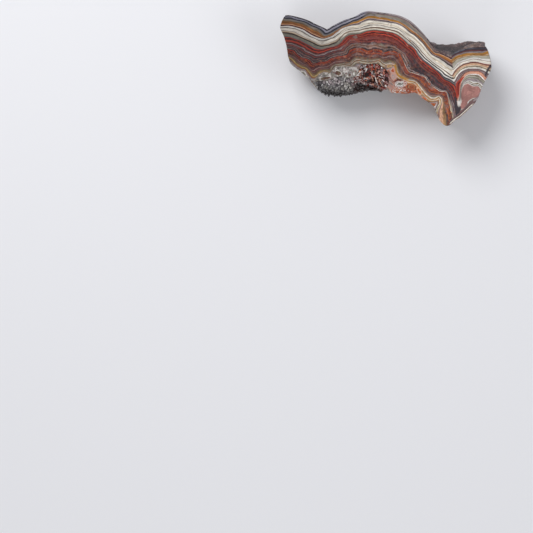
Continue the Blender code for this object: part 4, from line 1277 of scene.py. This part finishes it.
def broken_material(colours):
    """A broken side: the same bands, waxy and a little chalky where it is bruised, with painted shade in its
    chips' hollows and in patches on the hollow's wall.
    """
    made = new_material("broken_lace", 0.45, colours.mauve)
    tree = made.node_tree
    sunk = attribute(tree, "sunk")
    ridges = times(tree, passed(tree, sunk, 0.30, 0.06), 0.45)
    chalk = plus(tree, times(tree, clouds(tree, 0.46, 0.72, 0.0035, 5.0, 0.7), 0.28), ridges, clamp=True)
    colour = mixed(tree, chalk, lace_shading(tree, colours, 1.6), colours.cream_warm)
    # Painted shade: the sunk hollows of the chips are darkened
    colour = mixed(tree, times(tree, passed(tree, sunk, 0.55, 1.0), 0.45), colour, colours.skin_dark)
    # Painted shade in patches on the hollow's wall
    hollow_shade_patches = ramp(tree, speckle(tree, 0.006, 4.0, 0.65, 0.4),
                ((0.36, (0.95, 0.95, 0.95)), (0.62, (0.35, 0.35, 0.35))))
    colour = mixed(tree, times(tree, hollow_shade_patches, attribute(tree, "bed")), colour, colours.bed_dark)
    grit = speckle(tree, 0.0011, 4.0, 0.7)
    wire(made, Base_Color=colour, Normal=bump(tree, grit, 0.8, 0.0005),
         Roughness=plus(tree, times(tree, grit, 0.3), 0.3))
    return made


def sawn_material(colours):
    """The sawn back: the same bands, pale with saw marks that run in shallow arcs."""
    made = new_material("sawn_lace", 0.6, colours.mauve)
    tree = made.node_tree
    moved = {"Vector": object_place(tree), "Location": (0.25, 0.6, 0.0)}
    arcs = {"Vector": node(tree, "ShaderNodeMapping", moved).outputs[0], "Scale": 180.0, "Distortion": 1.5,
            "Detail": 2.0}
    marks = node(tree, "ShaderNodeTexWave", arcs, wave_type="RINGS").outputs[1]
    colour = mixed(tree, 0.28, lace_shading(tree, colours, 1.2), colours.cream_warm)
    colour = mixed(tree, times(tree, marks, 0.16), colour, colours.grey)
    wire(made, Base_Color=colour, Normal=bump(tree, marks, 0.25, 0.00015))
    return made


def skin_material(colours):
    """The natural skin: granular grey-brown lumps with rusty stains, pale tops that are partly wear and partly
    a painted highlight, and painted shade in its creases.
    """
    made = new_material("natural_skin", 0.6, colours.skin_grey)
    tree = made.node_tree
    sunk = attribute(tree, "sunk")
    worn, gritty = (mixed(tree, 0.5, pale, colours.rind_pale) for pale in (colours.lilac, colours.peach))
    colour = ramp(tree, speckle(tree, 0.0024, 6.0, 0.72), named_stops(colours, SKIN_COLOURS))
    for tint, strength, *cloud in SKIN_STAINS:
        colour = mixed(tree, times(tree, clouds(tree, *cloud), strength), colour, getattr(colours, tint))
    # Pale tops of the lumps: partly wear, partly a painted highlight
    tops = times(tree, passed(tree, sunk, 0.42, 0.05), passed(tree, speckle(tree, 0.0016, 3.0), 0.36, 0.60))
    colour = mixed(tree, times(tree, tops, 0.60), colour, worn)
    # Painted shade: the creases are darkened
    colour = mixed(tree, times(tree, passed(tree, sunk, 0.45, 0.95), 0.80), colour, colours.skin_dark)
    grains = clouds(tree, 0.58, 0.66, 0.0008, 3.0, 0.6, 0.0, 0.7)
    clusters = passed(tree, speckle(tree, 0.010, 3.0, 0.6, 0.4, 1.9), 0.44, 0.58)
    colour = mixed(tree, times(tree, times(tree, grains, clusters), 0.55), colour, gritty)
    colour = dimmed(tree, colour, around(tree, speckle(tree, 0.0012, 4.0, 0.7), 1.8))
    wire(made, Base_Color=colour, Normal=bump(tree, speckle(tree, 0.0009, 5.0, 0.7), 0.9, 0.0008))
    return made


def druse_material(colours):
    """The crystals: red-edged and mixed in the pocket, grey to white on the slope, with painted shade in the
    depth and on the bed between them.
    """
    made = new_material("quartz_points", 0.14, colours.pink)
    tree = made.node_tree
    core, shade, pocket = (attribute(tree, name) for name in ("core", "shade", "pocket"))
    edges = mixed(tree, passed(tree, shade, 0.30, 0.70), colours.red_bright, colours.red_dark)
    inner = ramp(tree, shade, named_stops(colours, ROSE_POINTS))
    rose = mixed(tree, passed(tree, core, 0.14, 0.30), edges, inner)
    grey = ramp(tree, shade, named_stops(colours, GREY_POINTS))
    grey = mixed(tree, times(tree, passed(tree, core, 0.5, 0.0), 0.6), grey, colours.slate)
    colour = mixed(tree, pocket, grey, rose)
    colour = dimmed(tree, colour, around(tree, speckle(tree, 0.0010, 4.0, 0.65), 1.0))
    # Painted shade: the druse is darkened in the depth and between the crystals
    wire(made, Base_Color=mixed(tree, attribute(tree, "painted_shade"), colour, colours.bed_dark))
    return made


# Settings

class LaceColours(bpy.types.PropertyGroup):
    """The colours of the stone, its crystals, the floor, and the shade painted in the hollow."""
    __annotations__ = {
        name: bpy.props.FloatVectorProperty(name=name.replace("_", " ").capitalize(),
                                            description="Colour of the " + name.replace("_", " ") + " parts",
                                            subtype="COLOR", min=0.0, max=1.0, default=paint(colour))
        for name, colour in PALETTE.items()
    }


class StoneSettings(bpy.types.PropertyGroup):
    """How finely the stone's surface is made, and how rough it is."""
    edge_spacing: bpy.props.FloatProperty(
        name="Edge spacing", description="Distance between the edge's points", default=0.00066, unit="LENGTH")
    depth_spacing: bpy.props.FloatProperty(
        name="Depth spacing", description="Distance between the side's rows", default=0.00100, unit="LENGTH")
    face_spacing: bpy.props.FloatProperty(
        name="Face spacing", description="Distance between the face's points", default=0.00060, unit="LENGTH")
    back_spacing: bpy.props.FloatProperty(
        name="Back spacing", description="Distance between the back's points", default=0.0014, unit="LENGTH")
    skin_grain: bpy.props.FloatProperty(
        name="Skin grain", description="Height of the skin's small pebbles", default=0.00070, unit="LENGTH")
    break_grain: bpy.props.FloatProperty(
        name="Break grain", description="Depth of small chips in the breaks", default=0.00210, unit="LENGTH")
    rim_bevel: bpy.props.FloatProperty(
        name="Rim bevel", description="Width of the polished face's worn rim", default=0.00025, unit="LENGTH")


class DruseSettings(bpy.types.PropertyGroup):
    """The crust of crystals in the hollow."""
    points: bpy.props.IntProperty(
        name="Crystals", description="How many are tried", default=14000, min=10)
    smallest: bpy.props.FloatProperty(
        name="Smallest", description="Radius of the smallest crystals", default=0.00046, unit="LENGTH")
    largest: bpy.props.FloatProperty(
        name="Largest", description="Radius of the slope's largest crystals", default=0.00150, unit="LENGTH")
    pocket_scale: bpy.props.FloatProperty(
        name="Pocket scale", description="Size in the pocket against the slope's", default=0.85, min=0.1)


class StageSettings(bpy.types.PropertyGroup):
    """The floor, the light and the camera."""
    floor_size: bpy.props.FloatProperty(
        name="Floor size", description="Width of the floor", default=8.0, unit="LENGTH")
    key_power: bpy.props.FloatProperty(
        name="Key light", description="Power of the main light", default=14.0)
    fill_power: bpy.props.FloatProperty(
        name="Fill light", description="Power of the others", default=3.4)
    sky: bpy.props.FloatProperty(
        name="Sky", description="Strength of the even light all round", default=0.34)
    lens: bpy.props.FloatProperty(
        name="Lens", description="Focal length in millimetres", default=200.0)
    field: bpy.props.FloatProperty(
        name="Field", description="Width of the view at the polished face", default=0.42650, unit="LENGTH")


# The stone

class AGATE_OT_stone(bpy.types.Operator):
    """Builds the stone: polished face, skin, breaks and sawn back"""
    bl_idname = "agate.stone"
    bl_label = "Banded stone"

    def execute(self, context):
        settings, colours = context.scene.stone_settings, context.scene.lace_colours
        edge = walk_round(settings.edge_spacing)
        inner = np.linspace(FIRST_ROW, THICKNESS - FIRST_ROW, round(THICKNESS / settings.depth_spacing))
        depths = np.concatenate([RIM_ROWS, inner, [THICKNESS - RIM_ROWS[-1], THICKNESS]])
        side, sunk = side_surface(edge, depths, settings.skin_grain, settings.break_grain, settings.rim_bevel)
        rows, columns = len(depths), len(edge["along"])
        top, top_faces = fill_outline(side[0, :, :2], settings.face_spacing, FACE_SEED)
        bottom, bottom_faces = fill_outline(side[-1, :, :2], settings.back_spacing, BACK_SEED)
        first_top, first_bottom = rows * columns, rows * columns + len(top)
        top_faces = np.where(top_faces < columns, top_faces, top_faces - columns + first_top)
        bottom_faces = np.where(bottom_faces < columns, bottom_faces + (rows - 1) * columns,
                                bottom_faces - columns + first_bottom)[:, ::-1]
        face_sheet = to_sheet(top)
        points = np.vstack([side.reshape(-1, 3), np.column_stack([top, THICKNESS - pit_depths(face_sheet)]),
                            np.column_stack([bottom, np.zeros(len(bottom))])])
        sheet = np.vstack([side_pattern(edge, depths, side), face_sheet, back_pattern(edge, bottom)])
        on_side, on_top, on_back = (np.zeros(count) for count in (rows * columns, len(top), len(bottom)))
        values = lace_values(sheet)
        values["pit"] = np.concatenate([on_side, pit_shade(face_sheet), on_back])
        values["sunk"] = np.concatenate([sunk.ravel(), on_top, on_back])
        values["bed"] = np.concatenate([bed_share(edge, depths, side).ravel(), on_top, on_back])
        values["quartz"] = np.maximum(values["quartz"], values["bed"])
        quads = grid_faces(rows, columns, True)
        side_kinds = np.where(is_skin(edge)[quads[:, 0] % columns], 1, 2)
        kinds = np.concatenate([side_kinds, np.full(len(top_faces), 0), np.full(len(bottom_faces), 3)])
        materials = [polished_material(colours), skin_material(colours), broken_material(colours),
                     sawn_material(colours)]
        piece = mesh_piece("banded_stone", points, [quads, top_faces, bottom_faces], materials, kinds, values)
        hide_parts("agate_stone")
        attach(piece, "root")
        return {"FINISHED"}


def pit_depths(sheet):
    """How deep the small natural pits are at sheet points on the face: ovals with round bottoms."""
    return np.max([depth * smoothstep(oval_share(sheet, *oval) * 1.8) for depth, *oval in PITS], axis=0)


def pit_shade(sheet):
    """1 inside the pits, falling to 0 at a short distance outside them."""
    return np.max([smoothstep(0.5 + oval_share(sheet, *oval) * 1.6) for _, *oval in PITS], axis=0)


def drifted(points):
    """How far the lace has wandered at places in the stone, as metres to the right and up.

    It is nothing at the face and grows with depth, in slow and quick noise.
    """
    moved = 0.0
    for height, size, seed in DRIFTS:
        moved = moved + height * np.stack([noise(points, size, seed), noise(points, size, seed + 1)], axis=-1)
    return moved * smoothstep((THICKNESS - points[..., 2:3]) / DRIFT_DEPTH)


def side_pattern(edge, depths, side):
    """Sheet points for the side: each is moved back by its row's way out from the face's line, and drifted."""
    carried = side[..., :2] - (edge["back"] - edge["face"]) * shares_out(edge, depths)[..., None]
    carried = carried + drifted(side) - outward(edge) * PATTERN_TUCK
    return to_sheet(carried.reshape(-1, 2))


def back_pattern(edge, points):
    """Sheet points for the back: each is moved as the nearest rim is, from the back's line to the face's."""
    rim_back, rim_face = (edge[name][::RIM_STEP] for name in ("back", "face"))
    apart = np.linalg.norm(points[:, None, :] - rim_back[None, :, :], axis=2) + 1e-4
    weights = apart ** -3
    moved = points + (weights @ (rim_face - rim_back)) / weights.sum(axis=1, keepdims=True)
    return to_sheet(moved + drifted(np.column_stack([points, np.zeros(len(points))])))


def bed_share(edge, depths, side):
    """1 on the hollow's wall and 0 elsewhere, averaged round the edge, with a border moved by noise."""
    share = averaged(edge, edge["kind"] == "hollow", BED_WINDOW) + 0.30 * noise(side, 0.006, 61)
    return smoothstep((share - 0.35) / 0.35) * smoothstep((depths[:, None] - 0.0006) / 0.002)


# The druse

class AGATE_OT_druse(bpy.types.Operator):
    """Builds the crust of quartz crystals that lines the hollow"""
    bl_idname = "agate.druse"
    bl_label = "Quartz druse"

    def execute(self, context):
        settings, colours = context.scene.druse_settings, context.scene.lace_colours
        inner, outer, normals = druse_bed()
        bed_points, bed_faces = shell(inner, outer)
        crystals = with_blades(scatter_crystals(outer, normals, settings))
        crystal_points, crystal_faces, core, shade = crystal_mesh(crystals)
        points = np.vstack([bed_points, crystal_points])
        bed = len(bed_points)
        values = {"core": np.concatenate([np.full(bed, BED_SHADE), core]),
                  "shade": np.concatenate([np.full(bed, BED_SHADE), shade]),
                  "pocket": pocket_share(points),
                  "painted_shade": painted_shade(points, np.arange(len(points)) < bed)}
        faces, materials = [bed_faces, crystal_faces + bed], [druse_material(colours)]
        piece = mesh_piece("quartz_druse", points, faces, materials, None, values, SHARP_CRYSTAL)
        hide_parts("druse_crust")
        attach(piece, "root")
        return {"FINISHED"}


def druse_bed():
    """The layer that the crystals grow from, as grids of inner points, outer points and directions out of it.

    It follows the hollow's wall, down to a foot that is deepest in the middle. Its outer side stands clear of
    the wall by a thickness that grows from its border inwards, plus noise.
    """
    edge = walk_round(BED_SPACING)
    hollow = np.flatnonzero(edge["kind"] == "hollow")[BED_MARGIN:-BED_MARGIN]
    across = np.linspace(0, math.pi, len(hollow))
    feet = BED_FOOT * (0.40 + 0.60 * np.sin(across) ** 0.6) + BED_FOOT_WAVE * np.sin(7 * across)
    depths = np.linspace(*WALL_ROWS)
    wall = side_surface(edge, depths)[0][:, hollow]
    down = BED_TOP + np.linspace(0, 1, BED_ROWS)[:, None] * (feet[None, :] - BED_TOP)
    patch = np.stack([np.column_stack([np.interp(level, depths, line) for level, line in zip(down.T, axis.T)])
                      for axis in np.moveaxis(wall, 2, 0)], axis=2)
    normals = patch_normals(patch)
    rows, columns = patch.shape[:2]
    r, c = np.meshgrid(np.arange(rows), np.arange(columns), indexing="ij")
    from_border = np.minimum(np.minimum(r, rows - 1 - r), np.minimum(c, columns - 1 - c)) / BED_BORDER
    lumpy = BED_THICKNESS + BED_LUMPS * noise(patch, 0.003, 71)
    outer = patch + normals * (BED_SINK + lumpy * smoothstep(from_border))[..., None]
    outer[..., 2] = np.minimum(outer[..., 2], THICKNESS - BED_UNDER_FACE)
    return patch - normals * BED_SINK, outer, normals


def painted_shade(points, on_bed):
    """How much shade is painted on the druse: on crystals past the pocket's and the slope's feet, deeper down,
    and on the bed between them.
    """
    pocket = pocket_share(points)
    below = THICKNESS - points[:, 2]
    past_pocket, past_druse = past_line(points, POCKET_FOOT), past_line(points, DRUSE_FOOT)
    # Painted shade that grows with the depth below the face
    low_down = smoothstep((below - 0.008) / 0.013) * 0.5
    deep = (1 - pocket) * np.maximum(low_down, smoothstep((past_druse + 7) / 7))
    deep += pocket * smoothstep((past_pocket + 0.5) / 2.2)
    return np.clip(on_bed * (0.35 + 0.6 * pocket) + deep * DEEPEST_PAINTED_SHADE, 0, 1)


def past_line(points, line):
    """How far down the sheet points lie past a line drawn across it, in the sheet's steps."""
    line, place = np.array(line), to_sheet(points[:, :2])
    return place[:, 1] - np.interp(place[:, 0], line[:, 0], line[:, 1])


def pocket_share(points):
    """1 in the pocket at the hollow's upper end, 0 on the slope, with a short change between."""
    return smoothstep((to_sheet(points[:, :2])[:, 0] - POCKET_FROM) / POCKET_CHANGE)


def patch_normals(patch):
    """Directions out of the stone over a patch of its side, from the cross product of its two tangents."""
    normals = np.cross(np.gradient(patch, axis=1), np.gradient(patch, axis=0))
    normals /= np.linalg.norm(normals, axis=2, keepdims=True)
    for _ in range(4):
        padded = np.pad(normals, ((1, 1), (1, 1), (0, 0)), mode="edge")
        rows, columns = normals.shape[:2]
        normals = sum(padded[r:r + rows, c:c + columns] for r in range(3) for c in range(3))
        normals /= np.linalg.norm(normals, axis=2, keepdims=True)
    return normals


def scatter_crystals(bed, normals, settings):
    """Places, directions, radii, heights and turns of crystals on the bed, with room left round each."""
    random = np.random.default_rng(CRYSTAL_SEED)
    rows, columns = bed.shape[:2]
    count = settings.points
    r, c = random.uniform(0, rows - 1.001, count), random.uniform(0, columns - 1.001, count)
    row, column = r.astype(int), c.astype(int)
    down, across = (r - row)[:, None], (c - column)[:, None]
    foot = ((bed[row, column] * (1 - across) + bed[row, column + 1] * across) * (1 - down)
            + (bed[row + 1, column] * (1 - across) + bed[row + 1, column + 1] * across) * down)
    pocket = pocket_share(foot)
    lean = random.normal(0, 1, (count, 3)) * (CRYSTAL_LEAN + POCKET_LEAN * pocket)[:, None]
    direction = normals[row, column] + lean
    direction /= np.linalg.norm(direction, axis=1, keepdims=True)
    radius = settings.smallest + (settings.largest - settings.smallest) * random.uniform(0, 1, count) ** 2.2
    radius *= 1 + (settings.pocket_scale - 1) * pocket
    slim = random.uniform(*SLIMNESS, count)
    shade = np.clip(0.5 + 0.55 * noise(foot, 0.0024, 81) + random.normal(0, 0.16, count), 0, 1)
    spin = random.uniform(0, math.tau, count)
    empty = np.any([oval_share(to_sheet(foot), *hole) > 0 for hole in POCKET_HOLES], axis=0)
    kept = []
    kept_feet, kept_radii = np.empty((count, 3)), np.empty(count)
    for number in np.argsort(-radius):
        done = len(kept)
        gap = np.linalg.norm(kept_feet[:done] - foot[number], axis=1)
        if not empty[number] and np.all(gap > CLOSEST * (kept_radii[:done] + radius[number])):
            kept_feet[done], kept_radii[done] = foot[number], radius[number]
            kept.append(number)
    side = np.cross(direction, ASKEW)
    other = np.cross(direction, side)
    spun = side * np.cos(spin)[:, None] + other * np.sin(spin)[:, None]
    tried = {"foot": foot, "direction": direction, "side": spun, "radius": radius, "height": radius * slim,
             "shade": shade, "wide": 1 + 0.4 * pocket, "shoulder": np.full(count, CRYSTAL_SHOULDER)}
    return {name: values[np.array(kept)] for name, values in tried.items()}


def with_blades(crystals):
    """The crystals with the pocket's blades added: upright slabs that end at the polished face."""
    blades = np.array(BLADES)
    start, stop = from_sheet(blades[:, 0:2]), from_sheet(blades[:, 2:4])
    length = np.linalg.norm(stop - start, axis=1)
    width = blades[:, 4] * STEP
    count = len(blades)
    random = np.random.default_rng(BLADE_SEED)
    lean = np.column_stack([random.normal(0, BLADE_LEAN, (count, 2)), np.ones(count)])
    added = {"foot": np.column_stack([(start + stop) / 2, np.full(count, THICKNESS - BLADE_DEPTH)]),
             "direction": lean / np.linalg.norm(lean, axis=1, keepdims=True),
             "side": np.column_stack([stop - start, np.zeros(count)]), "radius": np.sqrt(length * width) / 2,
             "height": np.full(count, BLADE_DEPTH), "shade": blades[:, 5], "wide": np.sqrt(length / width),
             "shoulder": np.full(count, BLADE_SHOULDER)}
    return {name: np.concatenate([values, added[name]]) for name, values in crystals.items()}


def crystal_mesh(crystals):
    """Six-sided quartz points as one mesh of triangles.

    Each has a ring at its root, one at its shoulder and a tip: a ring is the foot plus the direction times a
    level, plus a circle of six points across it. Every side and every facet of the cap has a point in its
    middle, so that edges and middles can differ. None stands above the polished face, where the saw cut them.
    """
    direction, foot = crystals["direction"], crystals["foot"]
    other = np.cross(direction, crystals["side"])
    other /= np.linalg.norm(other, axis=1, keepdims=True)
    side = np.cross(other, direction)
    count = len(foot)
    uneven = np.random.default_rng(UNEVEN_SEED).uniform(*UNEVENNESS, (count, 6))
    angles = np.arange(6) * math.tau / 6
    wide = crystals["wide"][:, None, None]
    circle = (side[:, None] * np.cos(angles)[None, :, None] * wide
              + other[:, None] * np.sin(angles)[None, :, None] / wide) * uneven[..., None]
    radius, height = crystals["radius"], crystals["height"]
    low = (foot - direction * (0.5 * radius)[:, None])[:, None] + circle * (0.75 * radius)[:, None, None]
    shoulder = crystals["shoulder"] * height
    high = (foot + direction * shoulder[:, None])[:, None] + circle * radius[:, None, None]
    tip = (foot + direction * height[:, None])[:, None]
    ceiling = THICKNESS - CRYSTAL_UNDER_FACE
    cut = tip[:, 0, 2] > ceiling
    for part in (low, high, tip):
        part[..., 2] = np.minimum(part[..., 2], ceiling)
    low_next, high_next = np.roll(low, -1, axis=1), np.roll(high, -1, axis=1)
    sides = (low + low_next + high + high_next) / 4
    caps = (high + high_next + tip) / 3
    root = low.mean(axis=1, keepdims=True)
    points = np.concatenate([low, high, sides, caps, tip, root], axis=1)
    each = points.shape[1]
    low_at, high_at, sides_at, caps_at = (np.arange(6) + 6 * ring for ring in range(4))
    tip_at, root_at = np.full(6, each - 2), np.full(6, each - 1)
    core = np.zeros((count, each))
    core[:, sides_at] = 1.0
    core[:, caps_at] = np.where(cut, CUT_CAP_CORE, 1.0)[:, None]
    core[:, tip_at[0]] = np.where(cut, 1.0, TIP_CORE)
    low_after, high_after = np.roll(low_at, -1), np.roll(high_at, -1)
    triangles = np.vstack([np.column_stack(corners) for corners in (
        (low_at, low_after, sides_at), (low_after, high_after, sides_at), (high_after, high_at, sides_at),
        (high_at, low_at, sides_at), (high_at, high_after, caps_at), (high_after, tip_at, caps_at),
        (tip_at, high_at, caps_at), (low_after, low_at, root_at))])
    faces = (triangles[None] + np.arange(count)[:, None, None] * each).reshape(-1, 3)
    return points.reshape(-1, 3), faces, core.ravel(), np.repeat(crystals["shade"], each)


# The stage

class AGATE_OT_stage(bpy.types.Operator):
    """Sets up the pale floor, the soft light and the camera"""
    bl_idname = "agate.stage"
    bl_label = "Floor, light and camera"

    def execute(self, context):
        scene = context.scene
        settings, colours = scene.stage_settings, scene.lace_colours
        half = settings.floor_size / 2
        points = np.array([(-half, -half, 0), (half, -half, 0), (half, half, 0), (-half, half, 0)])
        pale = new_material("pale_floor", 0.8, colours.floor)
        tree = pale.node_tree
        wire(pale, Roughness=plus(tree, times(tree, speckle(tree, 0.05, 3.0), 0.06), 0.77))
        shader(pale).inputs["Base Color"].default_value = (*colours.floor, 1.0)
        floor = mesh_piece("floor", points, [np.array([[0, 1, 2, 3]])], [pale])
        world = bpy.data.worlds.new("soft_sky")
        world.use_nodes = True
        sky = world.node_tree.nodes["Background"].inputs
        sky["Color"].default_value = SKY_COLOUR
        sky["Strength"].default_value = settings.sky
        scene.world = world
        for name, place, size, power in (("key", (-0.55, 0.75, 1.1), 0.9, settings.key_power),
                                         ("fill", (0.9, -0.35, 0.9), 0.8, settings.fill_power),
                                         ("low", (-0.3, -1.1, 0.7), 0.8, settings.fill_power * 0.6)):
            light = bpy.data.lights.new(name, "AREA")
            light.shape, light.size, light.energy = "DISK", size, power
            lamp = bpy.data.objects.new(name, light)
            lamp.location = place
            lamp.rotation_euler = (-Vector(place)).to_track_quat("-Z", "Y").to_euler()
            scene.collection.objects.link(lamp)
        lens = bpy.data.cameras.new("camera")
        lens.lens, lens.sensor_width = settings.lens, SENSOR_WIDTH
        camera = bpy.data.objects.new("camera", lens)
        middle = from_sheet([VIEW_MIDDLE])[0]
        away = settings.field * settings.lens / lens.sensor_width
        camera.location = (middle[0], middle[1], THICKNESS + away)
        scene.collection.objects.link(camera)
        scene.camera = camera
        scene.view_settings.view_transform = "Standard"
        return {"FINISHED"}


class AGATE_PT_panel(bpy.types.Panel):
    """Lists the agate's pieces and their settings"""
    bl_label = "Crazy lace agate"
    bl_idname = "AGATE_PT_panel"
    bl_space_type = "VIEW_3D"
    bl_region_type = "UI"
    bl_category = "Agate"

    def draw(self, context):
        for operator in OPERATORS:
            self.layout.operator(operator.bl_idname)
        for settings in SETTINGS:
            owner = getattr(context.scene, settings)
            for name in owner.__annotations__:
                self.layout.prop(owner, name)


OPERATORS = (AGATE_OT_stone, AGATE_OT_druse, AGATE_OT_stage)
SETTINGS = {"stone_settings": StoneSettings, "druse_settings": DruseSettings, "stage_settings": StageSettings,
            "lace_colours": LaceColours}
CLASSES = (*SETTINGS.values(), *OPERATORS, AGATE_PT_panel)


def register():
    """Makes the settings, operators and panel known to Blender."""
    for kind in CLASSES:
        bpy.utils.register_class(kind)
    for name, kind in SETTINGS.items():
        setattr(bpy.types.Scene, name, bpy.props.PointerProperty(type=kind))


def unregister():
    """Takes them out again, in the opposite order."""
    for name in SETTINGS:
        delattr(bpy.types.Scene, name)
    for kind in reversed(CLASSES):
        bpy.utils.unregister_class(kind)


def main():
    """Builds every piece and the stage."""
    register()
    bpy.ops.agate.stone()
    bpy.ops.agate.druse()
    bpy.ops.agate.stage()


if __name__ == "__main__":
    main()
